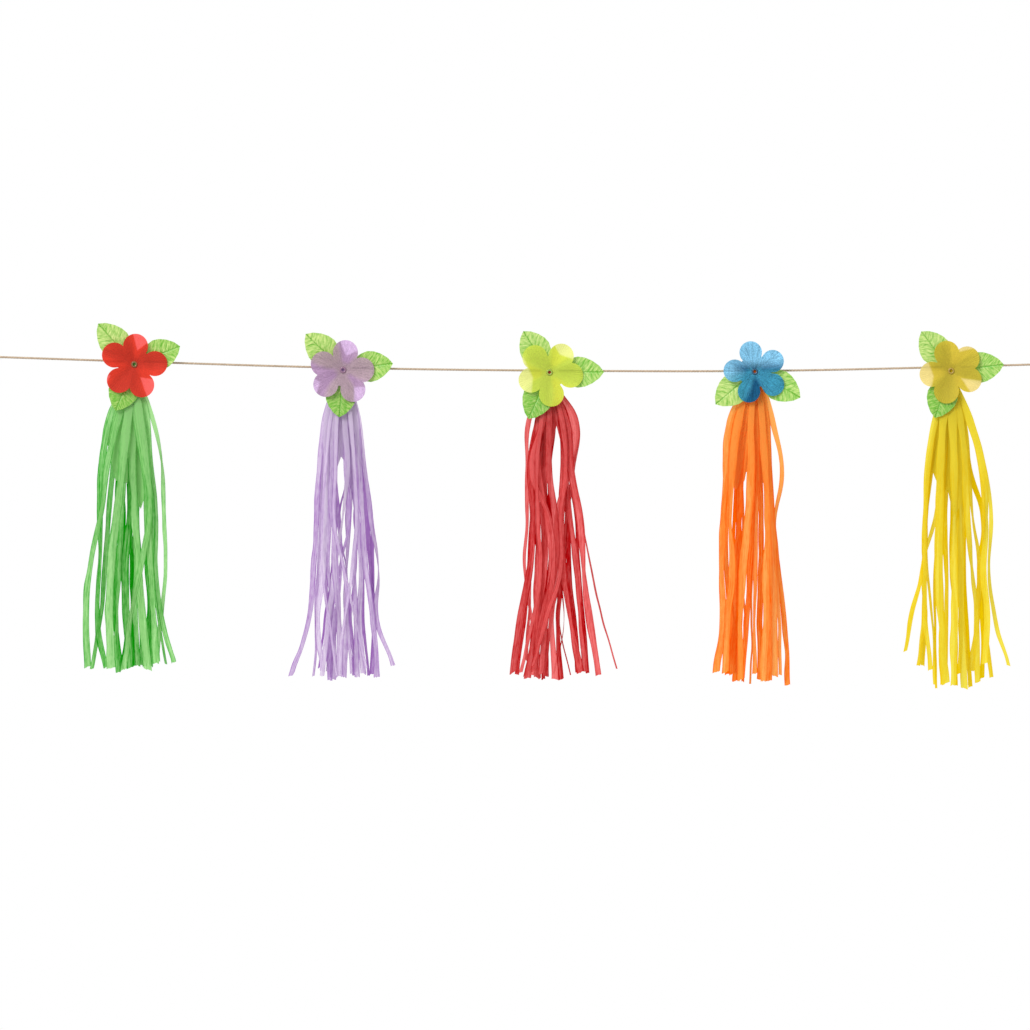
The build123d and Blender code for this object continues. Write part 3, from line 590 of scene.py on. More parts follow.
def petal_material(tassel):
    """Sheer woven petals, painted for light through them: deep where tissue or leaf lies behind, pale where
    nothing does.
    """
    look = LOOKS[tassel.name]
    material, nodes = new_material(look.fabric)
    place = nodes.node("ShaderNodeUVMap", uv_map="UVMap").outputs[0]
    ray = nodes.noise(nodes.stretched(place, RAY_STRETCH), 1.0, 4.0, RAY_ROUGHNESS)
    weave = nodes.noise(nodes.object_place(), PETAL_WEAVE_SCALE, 1.0)
    # Painted highlight and shade along the pressed rays, with the fabric's own weave
    streak = nodes.math("ADD", nodes.swing(ray, 1.0), nodes.swing(weave, PETAL_WEAVE_SHARE))
    behind = nodes.mix(nodes.attribute("leafed"), linear(look.backed), linear(look.leafed))
    colour = nodes.mix(nodes.attribute("backed"), linear(look.unbacked), behind)
    shaded = nodes.math("SUBTRACT", 1.0, nodes.math("MULTIPLY", nodes.attribute("strung"), STRING_SHADE))
    bright = nodes.math("ADD", nodes.math("MULTIPLY", streak, look.streak), shaded)
    normal = nodes.bump(streak, PETAL_FINISH)
    nodes.surface(sheer(nodes, nodes.scaled(colour, bright), PETAL_FINISH, normal))
    return material


def leaf_material():
    """Satin leaf with pressed veins; the vein attribute is 1 in a vein and also carries painted shade."""
    material, nodes = new_material("leaf fabric")
    weave = nodes.noise(nodes.object_place(), LEAF_WEAVE_SCALE, 2.0)
    amount = nodes.clamped("ADD", nodes.attribute("vein"), nodes.swing(weave, LEAF_WEAVE_SHARE))
    colour = nodes.mix(amount, linear(LEAF_COLOUR), linear(VEIN_AND_SHADE_COLOUR))
    nodes.surface(sheer(nodes, colour, LEAF_FINISH, nodes.bump(weave, LEAF_FINISH)))
    return material


def twine_material():
    """Rough fibres, with painted shade in the hollows of their bump."""
    material, nodes = new_material("twine")
    fibre = nodes.noise(nodes.object_place(), FIBRE_SCALE, 4.0)
    dark = tuple(c * TWINE_HOLLOW_SHADE for c in TWINE_COLOUR)
    colour = nodes.mix(fibre, linear(dark), linear(TWINE_COLOUR))
    nodes.surface(nodes.coat(colour, TWINE_FINISH, nodes.bump(fibre, TWINE_FINISH)))
    return material


def eyelet_material(tassel):
    """Smooth plastic in one colour."""
    material, nodes = new_material(tassel.name + "_eyelet_plastic")
    inputs = {"Base Color": linear(LOOKS[tassel.name].eyelet), "Roughness": EYELET_ROUGHNESS}
    nodes.surface(nodes.node("ShaderNodeBsdfPrincipled", inputs).outputs[0])
    return material


def placed(name, data):
    """A new thing in the scene, with its data."""
    made = bpy.data.objects.new(name, data)
    bpy.context.collection.objects.link(made)
    return made


def new_curve(name):
    data = bpy.data.curves.new(name, "CURVE")
    data.dimensions = "3D"
    return data


def new_mesh_piece(name, points, faces, material, uvs=None, attributes=None):
    """A mesh piece with its place in its vertices, points in millimetres."""
    mesh = bpy.data.meshes.new(name)
    mesh.from_pydata([tuple(c * MM for c in p) for p in points], [], faces)
    for key, values in (attributes or {}).items():
        layer = mesh.attributes.new(key, "FLOAT", "POINT")
        layer.data.foreach_set("value", np.asarray(values, np.float32))
    if uvs is not None:
        layer = mesh.uv_layers.new(name="UVMap")
        corners = np.zeros(len(mesh.loops), np.int32)
        mesh.loops.foreach_get("vertex_index", corners)
        layer.data.foreach_set("uv", np.asarray(uvs, np.float32)[corners].ravel())
    mesh.materials.append(material)
    mesh.shade_smooth()
    return placed(name, mesh)


def grid_faces(rows, columns, closed=False, first=0):
    """Quads of a grid of points stored row by row; closed joins the last column to the first."""
    faces = []
    for r in range(rows - 1):
        for c in range(columns if closed else columns - 1):
            d = (c + 1) % columns
            faces.append((first + r * columns + c, first + r * columns + d,
                          first + (r + 1) * columns + d, first + (r + 1) * columns + c))
    return faces


def sheet_grid(rows, columns):
    """Shares down and across a sheet, row by row."""
    return [(r / (rows - 1), c / (columns - 1)) for r in range(rows) for c in range(columns)]


def ring_grid(rows, columns):
    """Shares from ring to ring and angles round them, ring by ring."""
    return [(r / (rows - 1), 2 * math.pi * c / columns) for r in range(rows) for c in range(columns)]


def circle(radius, columns):
    """Points of a circle as pairs."""
    angles = [2 * math.pi * c / columns for c in range(columns)]
    return [(radius * math.cos(angle), radius * math.sin(angle)) for angle in angles]


def stray(scale, a, b, own):
    """Smooth chance over two measures, different for each own number."""
    return noise.noise((a * scale[0], b * scale[1], own))


def about_eyelet(tassel, x, y, z):
    """A point whose x and z are given from the middle of a tassel's eyelet."""
    return (tassel.x + tassel.eyelet_shift + x, y, tassel.z - tassel.eyelet_drop + z)


def joined(pieces):
    """The pieces as one, keeping the first one's name."""
    with bpy.context.temp_override(active_object=pieces[0], selected_editable_objects=pieces):
        bpy.ops.object.join()
    return pieces[0]


def plain_mesh(piece, material):
    """The piece as its modifiers leave it, as a plain mesh with one material."""
    evaluated = piece.evaluated_get(bpy.context.evaluated_depsgraph_get())
    mesh = bpy.data.meshes.new_from_object(evaluated, preserve_all_data_layers=True,
                                           depsgraph=bpy.context.evaluated_depsgraph_get())
    mesh.name = piece.name
    mesh.materials.clear()
    mesh.materials.append(material)
    mesh.shade_smooth()
    made = placed(piece.name + "_mesh", mesh)
    bpy.data.objects.remove(piece)
    return made


def new_tree(name, line, numbers, material, made):
    """A node tree that turns a line into a shape, with named numbers and a material as inputs."""
    tree = bpy.data.node_groups.new(name, "GeometryNodeTree")
    tree.interface.new_socket(line, in_out="INPUT", socket_type="NodeSocketGeometry")
    for number in numbers:
        tree.interface.new_socket(number, in_out="INPUT", socket_type="NodeSocketFloat")
    tree.interface.new_socket(material, in_out="INPUT", socket_type="NodeSocketMaterial")
    tree.interface.new_socket(made, in_out="OUTPUT", socket_type="NodeSocketGeometry")
    build = Nodes(tree)
    return build, build.node("NodeGroupInput").outputs


def end_tree(build, shape, material):
    """Ends a node tree with its shape made single and given its material."""
    single = build.shape("RealizeInstances", {"Geometry": shape})
    painted = build.shape("SetMaterial", {"Geometry": single, "Material": material})
    build.node("NodeGroupOutput", {0: painted})
    return build.tree


def stored(build, shape, name, value):
    """The shape with a value kept on its points under a name."""
    inputs = {"Geometry": shape, "Name": name, "Value": value}
    return build.shape("StoreNamedAttribute", inputs, data_type="FLOAT", domain="POINT")


def kept_value(build, name):
    return build.shape("InputNamedAttribute", {"Name": name}, data_type="FLOAT")


def wavering_line(build, given, line, along):
    """The strips' centre lines with a waver that grows towards the foot, narrowed where the paper curls."""
    even = build.shape("ResampleCurve", {"Curve": given["Lines"], "Length": given["Step"]}, mode="LENGTH")
    place = build.shape("InputPosition")
    own = build.math("ADD", build.math("MULTIPLY", line, WAVER_STEP), given["Seed"])
    inputs = {"Vector": place, "W": own, "Scale": given["Waver Scale"], "Detail": 1.0}
    wave = build.node("ShaderNodeTexNoise", inputs, noise_dimensions="4D").outputs
    centred = build.node("ShaderNodeVectorMath", {0: wave["Color"], 1: (0.5, 0.5, 0.5)}, operation="SUBTRACT")
    offset = build.scaled(centred.outputs[0], build.math("MULTIPLY", given["Waver"], along))
    waved = build.shape("SetPosition", {"Geometry": even, "Offset": offset})
    curl = build.clamped("MULTIPLY", build.math("SUBTRACT", wave[0], CURL_START), CURL_GAIN)
    share = build.math("SUBTRACT", 1.0, build.math("MULTIPLY", curl, given["Narrowing"]))
    width = build.math("MULTIPLY", build.shape("InputRadius"), share)
    return build.shape("SetCurveRadius", {"Curve": waved, "Radius": width})


def strip_tone(build, given, line, along, chance):
    """How deep a strip's colour is: painted shade by its stack place, its own chance, painted light at the
    neck.
    """
    back = build.math("MULTIPLY", build.math("DIVIDE", line, given["Strips"]), BACK_SHADE)
    near_neck = build.clamped("SUBTRACT", 1.0, build.math("MULTIPLY", along, TOP_LIGHT_FADE))
    tone = build.math("ADD", back, build.swing(chance, OWN_TONE, OWN_TONE_MIDDLE))
    return build.math("SUBTRACT", tone, build.math("MULTIPLY", near_neck, given["Top Light"]))


def cut_feet(build, given, paper):
    """The strips with slanted and frayed feet."""
    across = build.math("MULTIPLY", kept_value(build, "across"), kept_value(build, "half"))
    sheared = build.math("MULTIPLY", across, build.swing(kept_value(build, "own"), given["Slant"]))
    torn = build.noise(build.shape("InputPosition"), FRAY_SCALE, 2.0)
    frayed = build.swing(torn, given["Ragged"])
    foot = build.math("POWER", kept_value(build, "along"), FOOT_POWER)
    lowered = build.math("MULTIPLY", build.math("ADD", sheared, frayed), foot)
    return build.shape("SetPosition", {"Geometry": paper, "Offset": build.point(z=lowered)})


def strip_tree():
    """Turns centre lines into paper strips: the radius is half the width and the tilt is the facing."""
    numbers = tuple(STRIP_INPUTS) + ("Strips", "Top Light", "Seed")
    build, given = new_tree("paper strips", "Lines", numbers, "Paper", "Strips")
    line = build.node("GeometryNodeCurveOfPoint").outputs["Curve Index"]
    along = build.node("GeometryNodeSplineParameter").outputs["Factor"]
    radius = build.shape("InputRadius")
    narrowed = wavering_line(build, given, line, along)
    tilt = build.shape("InputCurveTilt")
    facing = build.point(build.math("COSINE", tilt), build.math("SINE", tilt))
    faced = build.shape("SetCurveNormal", {"Curve": narrowed, "Normal": facing}, mode="FREE")
    lines = build.shape("SetCurveTilt", {"Curve": faced, "Tilt": 0.0})
    chance = build.node("FunctionNodeRandomValue", {"ID": line, "Seed": 3}, data_type="FLOAT").outputs[1]
    tone = strip_tone(build, given, line, along, chance)
    for name, value in (("shade", tone), ("along", along), ("own", chance), ("half", radius)):
        lines = stored(build, lines, name, value)
    inputs = {"Resolution": STRIP_SECTION_STEPS, "Start": (-1.0, 0.0, 0.0),
              "Middle": build.point(y=given["Cup"]), "End": (1.0, 0.0, 0.0)}
    section = build.shape("CurveQuadraticBezier", inputs)
    sideways = build.math("SUBTRACT", build.math("MULTIPLY", along, 2.0), 1.0)
    inputs = {"Curve": lines, "Profile Curve": stored(build, section, "across", sideways), "Scale": radius}
    paper = build.shape("CurveToMesh", inputs)
    return end_tree(build, cut_feet(build, given, paper), given["Paper"])


def twine_tree():
    """Turns the string's line into twisted twine."""
    build, given = new_tree("twisted twine", "Line", TWINE_INPUTS, "Twine", "Twine")
    even = build.shape("ResampleCurve", {"Curve": given["Line"], "Length": given["Step"]}, mode="LENGTH")
    along = build.node("GeometryNodeSplineParameter").outputs
    tilt = build.math("MULTIPLY", along["Length"], given["Turns"])
    twist = build.shape("SetCurveTilt", {"Curve": even, "Tilt": tilt})
    ring = build.shape("CurvePrimitiveCircle", {"Resolution": TWINE_SIDES, "Radius": given["Radius"]})
    around = build.math("MULTIPLY", along["Factor"], TWINE_PLIES * math.pi)
    lobe = build.math("ABSOLUTE", build.math("SINE", around))
    groove = build.math("MULTIPLY", build.math("SUBTRACT", lobe, 1.0), given["Ply Depth"])
    place = build.shape("InputPosition")
    lobed = build.scaled(place, build.math("ADD", groove, 1.0))
    plies = build.shape("SetPosition", {"Geometry": ring, "Position": lobed})
    tube = build.shape("CurveToMesh", {"Curve": twist, "Profile Curve": plies, "Fill Caps": True})
    return end_tree(build, tube, given["Twine"])


def run_tree(piece, tree, inputs):
    """Puts a node tree on a piece and sets its inputs by their identifiers."""
    modifier = piece.modifiers.new(tree.name, "NODES")
    modifier.node_group = tree
    for item in tree.interface.items_tree:
        if item.in_out == "INPUT" and item.name in inputs:
            modifier[item.identifier] = inputs[item.name]


def fringe(tassel, tree, material, seed):
    """The cut strips of one tassel, along the lines of its table."""
    chance = random.Random(seed)
    data = new_curve(tassel.name + "_lines")
    gaps = len(tassel.strips) - 1
    deeps = (STRIP_NECK_DEEP,) + LEVEL_DEEPS + (FOOT_DEEP,)
    for i, strip in enumerate(tassel.strips):
        slot = i / gaps - 0.5
        drops = (STRIP_NECK_DROP,) + LEVEL_DROPS + (strip.drop,)
        offsets = (tassel.neck_gather * strip.bows[0],) + strip.bows + (strip.foot,)
        level_widths = tuple(strip.width + extra for extra in LEVEL_EXTRA_W)
        widths = (min(STRIP_NECK_W, strip.width),) + level_widths + (strip.width,)
        spline = data.splines.new("BEZIER")
        spline.bezier_points.add(len(drops) - 1)
        turn = chance.uniform(-NECK_TURN, NECK_TURN)
        edge_drop = chance.choice(EDGE_DROPS)
        edge_turn = chance.choice((-EDGE_TURN, EDGE_TURN))
        if (tassel.name, i) in EDGE_ON:
            edge_drop = EDGE_ON[tassel.name, i]
            edge_turn = EDGE_ON_TURN
        for point, drop, deep, x, width in zip(spline.bezier_points, drops, deeps, offsets, widths):
            point.co = Vector((tassel.x + x, slot * deep, tassel.z - drop)) * MM
            point.handle_left_type = "AUTO"
            point.handle_right_type = "AUTO"
            point.radius = width / 2 * tassel.strip_trim * MM
            point.tilt = turn + (edge_turn if drop == edge_drop else 0.0)
            turn += chance.uniform(-LEVEL_TURN, LEVEL_TURN)
    lines = placed(tassel.name + "_fringe_piece", data)
    run_tree(lines, tree, {**STRIP_INPUTS, "Strips": float(len(tassel.strips)), "Seed": float(seed),
                           "Top Light": LOOKS[tassel.name].top_light, "Paper": material})
    return plain_mesh(lines, material)


def gathered_head(tassel, material):
    """Tissue folded over the string: pleats across, from the front root over the top to the back."""
    rows, columns = 40, 90
    points, shades = [], []
    straight = HEAD_DROP + TIE_H + HEAD_TAIL
    arc = math.pi * (HEAD_R - HEAD_PAPER)
    total = 2 * straight + arc
    for t, across in sheet_grid(rows, columns):
        s = total * t
        turns = across * HEAD_PLEATS + PLEAT_STRAY * stray(PLEAT_STRAY_SCALE, across, s, tassel.x)
        pleat = PLEAT_DEPTH * abs((turns % 1) * 2 - 1)
        radius = HEAD_R - PLEAT_INSET + pleat
        if s < straight:
            y, z = -radius, -straight + s
        elif s < straight + arc:
            angle = math.pi * (s - straight) / arc
            y, z = -radius * math.cos(angle), radius * math.sin(angle)
        else:
            y, z = radius, -(s - straight - arc)
        pinch = math.exp(-((z + HEAD_DROP + TIE_H / 2) / PINCH_REACH) ** 2)
        y *= 1 - PINCH_SHARE * pinch
        x = (across - 0.5) * (HEAD_W - PINCH_W * pinch)
        points.append((tassel.x + x, y, tassel.z + z))
        # Painted shade, deeper in the hollows of the pleats
        shades.append(HEAD_TONE + PLEAT_HOLLOW_SHADE * (1 - pleat / PLEAT_DEPTH))
    return new_mesh_piece(tassel.name + "_head_piece", points, grid_faces(rows, columns), material,
                          attributes={"shade": shades})


def pleated_skirt(tassel, material, side):
    """Uncut tissue that fans out from the neck to the tops of the slits in soft pleats."""
    rows, columns = 40, 90
    points, shades = [], []
    start = HEAD_DROP + TIE_H
    offsets, drops = zip(*tassel.hem)
    tone = SKIRT_TONE - SKIRT_TOP_LIGHT * LOOKS[tassel.name].top_light
    for t, across in sheet_grid(rows, columns):
        hem_x = offsets[0] + (offsets[-1] - offsets[0]) * across
        drop = start + (float(np.interp(hem_x, offsets, drops)) - start) * t
        uneven = SKIRT_STRAY * stray(SKIRT_STRAY_SCALE, across, t, tassel.x + side)
        wave = math.sin(across * 2 * math.pi * SKIRT_PLEATS + uneven)
        deep = SKIRT_NECK_DEEP - (SKIRT_NECK_DEEP - SKIRT_HEM_DEEP) * t
        deep += SKIRT_PLEAT_DEPTH * wave * (1 - SKIRT_PLEAT_LOSS * t)
        x = (across - 0.5) * SKIRT_NECK_W * (1 - t) + hem_x * t
        points.append((tassel.x + x, side * deep, tassel.z - drop))
        # Painted shade and light across the pleats, by their wave and the side
        shades.append(tone - SKIRT_PLEAT_SHADE * side * wave)
    return new_mesh_piece(tassel.name + "_skirt_piece", points, grid_faces(rows, columns), material,
                          attributes={"shade": shades})


def neck_tie(tassel, material):
    """Band wound round the neck, with soft ridges."""
    rows, columns = 12, 64
    points, shades = [], []
    for r in range(rows):
        t = r / (rows - 1)
        z = -HEAD_DROP - TIE_GAP - (TIE_H - 2 * TIE_GAP) * t
        bulge = TIE_BULGE * math.sin(math.pi * t) + TIE_RIDGE_DEPTH * math.sin(2 * TIE_RIDGES * math.pi * t)
        for cosine, sine in circle(1.0, columns):
            edge = (abs(cosine) ** TIE_SQUARENESS + abs(sine) ** TIE_SQUARENESS) ** (-1 / TIE_SQUARENESS)
            x = (TIE_HALF_W + bulge) * edge * cosine
            y = (TIE_HALF_DEEP + bulge) * edge * sine
            points.append((tassel.x + x, y, tassel.z + z + TIE_SLOPE * sine))
            # Painted shade in a line at every fourth row of the band
            shades.append(TIE_TONE + TIE_FOLD_SHADE * (r % TIE_FOLD_ROWS == 0))
    faces = grid_faces(rows, columns, closed=True)
    return new_mesh_piece(tassel.name + "_neck_band", points, faces, material, attributes={"shade": shades})


def leaf_half_width(s):
    """Half-width of a leaf at share s of its length from root to tip."""
    shares, parts = zip(*LEAF_OUTLINE)
    return LEAF_W / 2 * float(np.interp(s, shares, parts))


def leaf_relief(tassel, leaf, along, across):
    """How strongly a vein and a fine wrinkle show at a point of a leaf."""
    own = leaf.turn + tassel.x
    rib = math.exp(-(across / RIB_HALF_W) ** 2)
    uneven = VEIN_STRAY * stray(VEIN_STRAY_SCALE, across, along, own)
    order = (along - VEIN_SLOPE * abs(across) + VEIN_STAGGER * (across > 0) + uneven) / VEIN_PITCH
    strength = VEIN_STRENGTH + VEIN_UNEVEN * stray(VEIN_UNEVEN_SCALE, across, along, tassel.x - leaf.turn)
    pressed = math.exp(-((order - round(order)) / VEIN_SHARE) ** 2)
    side = strength * pressed * min(1.0, abs(across) / VEIN_FADE)
    wrinkle = 0.5 + stray(WRINKLE_SCALE, order, across, own)
    return max(rib, SIDE_VEIN * side), wrinkle


def leaf_front(tassel, leaf, along, across, vein, wrinkle):
    """How far a point of a leaf stands out in front; near the hub it stays behind the flower."""
    front = (along - LEAF_ROOT_X) * LEAF_LIFT + abs(across) * LEAF_FOLD
    front += WRINKLE_DEPTH * wrinkle - VEIN_DEPTH * vein
    front += LEAF_CURL * stray(LEAF_CURL_SCALE, along, across, leaf.turn + tassel.x)
    if along < HUB_REACH:
        front = max(front, HUB_FRONT)
    room = FLOWER_ROOM * (math.hypot(along, across) - FLOWER_ROOM_R)
    return min(front, max(HUB_FRONT, room))


def leaf_shade(leaf):
    """How much painted shade darkens a leaf for the way that it points."""
    if HANGING_TURNS[0] < leaf.turn < HANGING_TURNS[1]:
        return HANGING_SHADE
    return RIGHT_SHADE if leaf.turn < RIGHT_TURN else LEFT_SHADE


def leaves_on_hub(tassel, material):
    """Leaves on a hub, each creased along its midrib with pressed side veins."""
    rows, columns = 110, 57
    points, faces, veins = [], [], []
    for leaf in tassel.leaves:
        turn = math.radians(leaf.turn)
        length = leaf.reach - LEAF_ROOT_X
        faces += grid_faces(rows, columns, first=len(points))
        for t, u in sheet_grid(rows, columns):
            along = LEAF_ROOT_X - LEAF_TUCK + (length + LEAF_TUCK) * t
            across = (2 * u - 1) * max(leaf_half_width((along - LEAF_ROOT_X) / length), LEAF_TIP_HALF_W)
            vein, wrinkle = leaf_relief(tassel, leaf, along, across)
            front = leaf_front(tassel, leaf, along, across, vein, wrinkle)
            x = along * math.cos(turn) - across * math.sin(turn)
            z = along * math.sin(turn) + across * math.cos(turn)
            points.append(about_eyelet(tassel, x, -LEAF_BACK - LEAF_PLY - front, z))
            # Vein tone, with painted shade in wrinkle hollows and by the way the leaf points
            veins.append(min(1.0, VEIN_TONE * vein + WRINKLE_SHADE * (1 - wrinkle) + leaf_shade(leaf)))
    rings, columns = 4, 48
    faces += grid_faces(rings, columns, closed=True, first=len(points))
    for r in range(rings):
        for x, z in circle(HUB_BORE_R + (HUB_R - HUB_BORE_R) * r / (rings - 1), columns):
            points.append(about_eyelet(tassel, x, -LEAF_BACK - HUB_PLY, z))
            veins.append(HUB_TONE)
    return new_mesh_piece(tassel.name + "_leaf_piece", points, faces, material, attributes={"vein": veins})


def leaf_cover(tassel, x, z):
    """How far a point of the flower has a leaf behind it, from 0 to 1 over a soft edge."""
    cover = 0.0
    for leaf in tassel.leaves:
        turn = math.radians(leaf.turn)
        along = x * math.cos(turn) + z * math.sin(turn)
        across = -x * math.sin(turn) + z * math.cos(turn)
        share = (along - LEAF_ROOT_X) / (leaf.reach - LEAF_ROOT_X)
        if along > 0 and share < 1:
            cover = max(cover, min(1.0, 0.5 + (leaf_half_width(share) - abs(across)) / LEAF_EDGE_BLUR))
    return cover


def bare_petal(tassel, x, z):
    """How far a point of the flower has nothing behind it, from 0 to 1."""
    bare = 0.0
    for wedge in LOOKS[tassel.name].bare:
        apex = math.radians(wedge.apex_turn)
        dx = x - wedge.apex_r * math.cos(apex)
        dz = z - wedge.apex_r * math.sin(apex)
        away = abs(math.remainder(math.atan2(dz, dx) - math.radians(wedge.axis), 2 * math.pi))
        inside = math.radians(wedge.half_angle) - away
        depth = math.hypot(dx, dz) * math.sin(max(-1.5, min(1.5, inside)))
        bare = max(bare, min(1.0, 0.5 + depth / wedge.fade))
    return bare


def string_shadow(tassel, x, z):
    """How far the string lies behind a point of the flower, beside the head."""
    if abs(x) <= HEAD_W / 2:
        return 0.0
    return math.exp(-((z - tassel.eyelet_drop) / (STRING_D / 2)) ** 2)


def petal_edge(tassel, angle):
    """Reach of the flower's outline in a direction."""
    reach = FLOWER_CORE_R
    for petal in tassel.petals:
        out = petal.reach - tassel.petal_r
        away = angle - math.radians(petal.turn)
        side = out * math.sin(away)
        if math.cos(away) > 0 and abs(side) < tassel.petal_r:
            reach = max(reach, out * math.cos(away) + math.sqrt(tassel.petal_r ** 2 - side ** 2))
    return reach


def petal_rise(tassel, angle, radius, t):
    """How far a point of the flower stands out in front: its cup, rays, curl and falling rim."""
    x, z = radius * math.cos(angle), radius * math.sin(angle)
    nearest = min(abs(math.remainder(angle - math.radians(p.turn), 2 * math.pi)) for p in tassel.petals)
    rise = max(radius - FLOWER_FLAT_R, 0) * (CUP_SLOPE - CUP_VARY * math.cos(nearest * len(tassel.petals)))
    ray = math.sin(angle * RAYS + RAY_STRAY * stray(RAY_STRAY_SCALE, x, z, tassel.x))
    rise += RAY_DEPTH * ray * min(1, radius / RAY_FULL_R)
    rise += PETAL_CURL * t * stray(PETAL_CURL_SCALE, x, z, tassel.x + PETAL_CURL_OWN)
    rise -= RIM_FALL * max(radius - RIM_R, 0) ** 2
    return max(rise, 0)


def flower(tassel, material):
    """Cupped petals in one sheet, pressed into fine rays."""
    rows, columns = 56, 480
    points, uvs, backed, leafed, strung = [], [], [], [], []
    for t, angle in ring_grid(rows, columns):
        radius = FLOWER_HOLE_R + (petal_edge(tassel, angle) - FLOWER_HOLE_R) * t
        x, z = radius * math.cos(angle), radius * math.sin(angle)
        y = -FLOWER_BACK - FLOWER_PLY - petal_rise(tassel, angle, radius, t)
        points.append(about_eyelet(tassel, x, y, z))
        uvs.append((angle / (2 * math.pi), radius / FLOWER_UV_R))
        # Painted light through the petals, by what lies behind: tissue, a leaf or nothing
        backed.append(1.0 - bare_petal(tassel, x, z))
        leafed.append(leaf_cover(tassel, x, z))
        strung.append(string_shadow(tassel, x, z))
    faces = grid_faces(rows, columns, closed=True)
    return new_mesh_piece(tassel.name + "_flower_piece", points, faces, material, uvs,
                          {"backed": backed, "leafed": leafed, "strung": strung})


def eyelet(tassel, material):
    """Domed ring with a bore, its stem running back into the head."""
    columns = 40
    points = [about_eyelet(tassel, x, y, z)
              for radius, y in EYELET_PROFILE for x, z in circle(radius, columns)]
    faces = grid_faces(len(EYELET_PROFILE), columns, closed=True)
    return new_mesh_piece(tassel.name + "_eyelet_piece", points, faces, material)


def string_line():
    """Points along the string, read from the smooth spline that its route controls."""
    data = new_curve("string route")
    data.resolution_u = ROUTE_STEPS
    spline = data.splines.new("NURBS")
    spline.points.add(len(STRING_ROUTE) - 1)
    for point, (x, y, z) in zip(spline.points, STRING_ROUTE):
        point.co = (x * MM, y * MM, z * MM, 1.0)
    spline.order_u = 3
    spline.use_endpoint_u = True
    route = placed("string route", data)
    mesh = bpy.data.meshes.new_from_object(route.evaluated_get(bpy.context.evaluated_depsgraph_get()))
    points = [v.co.copy() for v in mesh.vertices]
    bpy.data.objects.remove(route)
    return points


def twine_string(points, material):
    """Twisted twine along the string's points."""
    data = new_curve("string line")
    spline = data.splines.new("POLY")
    spline.points.add(len(points) - 1)
    for point, place in zip(spline.points, points):
        point.co = (*place, 1.0)
        point.radius = 1.0
    line = placed("twine_string", data)
    run_tree(line, twine_tree(), {**TWINE_INPUTS, "Twine": material})
    return plain_mesh(line, material)


def stopper_knot(name, inner, outer, material):
    """Barrel knot: wraps of twine round the string's end, from its inner to its outer end."""
    axis = (outer - inner).normalized()
    up = Vector((0, 0, 1)) - axis * axis.z
    up.normalize()
    side = axis.cross(up)
    rows, columns = 40, 36
    length = (outer - inner).length
    points = []
    for t, angle in ring_grid(rows, columns):
        swell = KNOT_SWELL * math.sin(math.pi * t) ** KNOT_FULLNESS
        rounding = min(1, KNOT_ROUNDING * t + KNOT_TIP, KNOT_ROUNDING * (1 - t) + KNOT_TIP)
        wrap = abs(math.sin(math.pi * KNOT_WRAPS * t + angle / 2))
        radius = (KNOT_END_R + swell * (1 - KNOT_WRAP_DEPTH + KNOT_WRAP_DEPTH * wrap)) * rounding
        points.append(inner + axis * length * t + (up * math.cos(angle) + side * math.sin(angle)) * radius)
    return new_mesh_piece(name, points, grid_faces(rows, columns, closed=True), material)


def set_camera():
    """Level view from the front, without perspective."""
    data = bpy.data.cameras.new("camera")
    data.type = "ORTHO"
    data.ortho_scale = VIEW_W * MM
    data.clip_end = VIEW_FAR * MM
    camera = placed("camera", data)
    camera.location = (VIEW_CENTRE[0] * MM, -VIEW_AWAY * MM, VIEW_CENTRE[1] * MM)
    camera.rotation_euler = (math.radians(90), 0, 0)
    bpy.context.scene.camera = camera


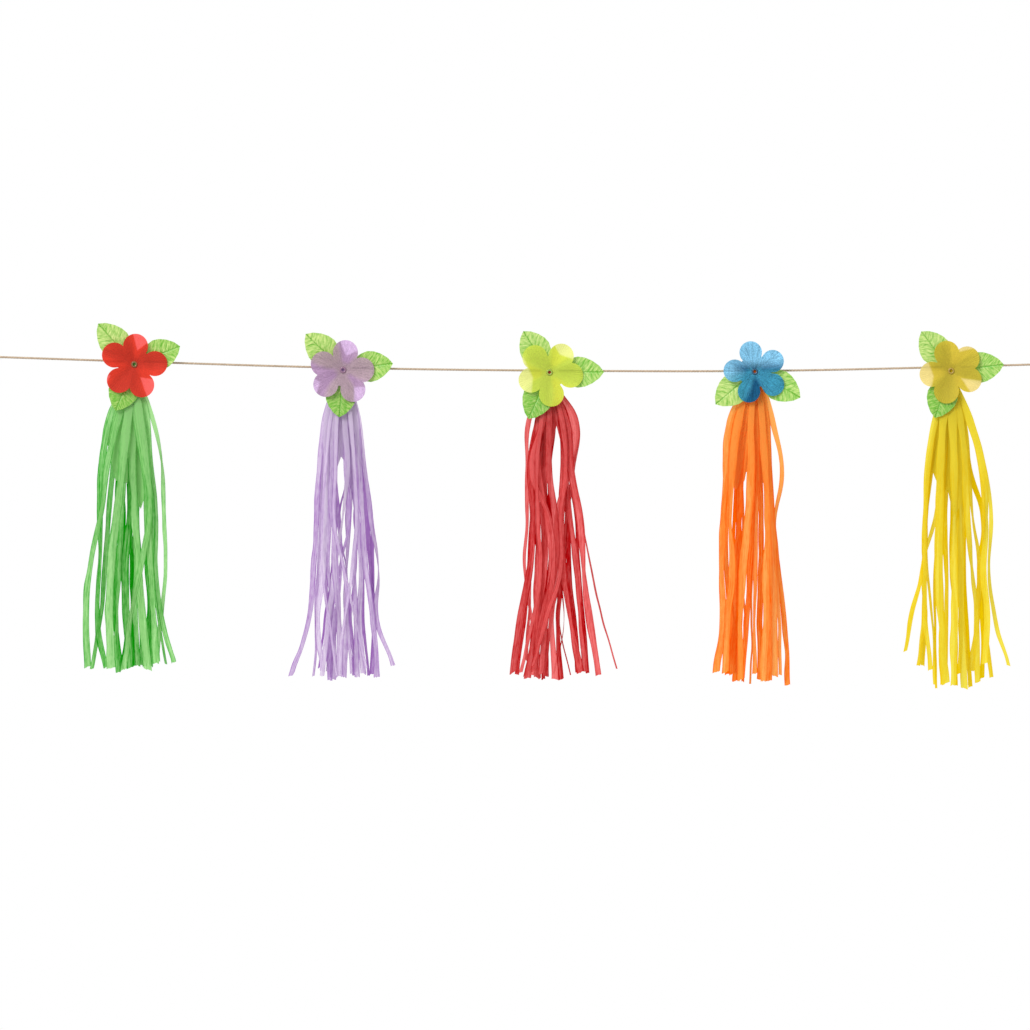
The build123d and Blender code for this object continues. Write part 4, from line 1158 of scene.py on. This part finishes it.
def set_light():
    """Plain white surroundings and a soft key from the upper left."""
    world = bpy.data.worlds.new("white surroundings")
    bpy.context.scene.world = world
    world.use_nodes = True
    world.node_tree.nodes.clear()
    sky = Nodes(world.node_tree)
    rays = sky.node("ShaderNodeLightPath").outputs
    mirrored = sky.math("MAXIMUM", rays["Is Glossy Ray"], rays["Is Transmission Ray"])
    seen = sky.math("MAXIMUM", rays["Is Camera Ray"], mirrored)
    strength = sky.math("MULTIPLY_ADD", seen, SEEN_LIGHT - SURROUND_LIGHT, SURROUND_LIGHT)
    ground = sky.node("ShaderNodeBackground", {"Color": (1.0, 1.0, 1.0, 1.0), "Strength": strength})
    sky.node("ShaderNodeOutputWorld", {"Surface": ground.outputs[0]})
    key = bpy.data.lights.new("key", "SUN")
    key.energy = KEY_LIGHT
    key.angle = math.radians(KEY_SPREAD)
    lamp = placed("key", key)
    lamp.rotation_euler = [math.radians(turn) for turn in KEY_TURNS]
    bpy.context.scene.view_settings.view_transform = "Standard"


def pale_floor():
    """Plain floor under the hanging tassels, below the camera's frame."""
    material, nodes = new_material("pale floor")
    matt = nodes.node("ShaderNodeBsdfDiffuse", {"Color": (FLOOR_GREY, FLOOR_GREY, FLOOR_GREY, 1.0)})
    nodes.surface(matt.outputs[0])
    half = FLOOR_SIZE / 2
    corners = [(VIEW_CENTRE[0] + x * half, y * half, -FLOOR_DROP)
               for x, y in ((-1, -1), (1, -1), (1, 1), (-1, 1))]
    return new_mesh_piece("floor", corners, [(0, 1, 2, 3)], material)


def dress(piece, node):
    """Puts a piece in the place of its solid, on the one body."""
    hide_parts(node)
    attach(piece, "root")


set_camera()
set_light()
pale_floor()
twine = twine_material()
leaf_fabric = leaf_material()
line_points = string_line()
string = twine_string(line_points, twine)
left_knot = stopper_knot("left_knot_wraps", Vector(STRING_ROUTE[0]), Vector(LEFT_END), twine)
right_knot = stopper_knot("right_knot_wraps", Vector(STRING_ROUTE[-1]), Vector(RIGHT_END), twine)
dress(string, "string")
dress(left_knot, "left_knot")
dress(right_knot, "right_knot")

strips = strip_tree()
for seed, tassel in enumerate(TASSELS, FIRST_SEED):
    tissue = tissue_material(tassel)
    body = joined([fringe(tassel, strips, tissue, seed), gathered_head(tassel, tissue),
                   pleated_skirt(tassel, tissue, -1), pleated_skirt(tassel, tissue, 1)])
    band = neck_tie(tassel, tissue)
    leaf = leaves_on_hub(tassel, leaf_fabric)
    bloom = flower(tassel, petal_material(tassel))
    ring = eyelet(tassel, eyelet_material(tassel))
    dress(body, tassel.name)
    dress(band, tassel.name + "_neck_tie")
    dress(leaf, tassel.name + "_leaf")
    dress(bloom, tassel.name + "_flower")
    dress(ring, tassel.name + "_eyelet")
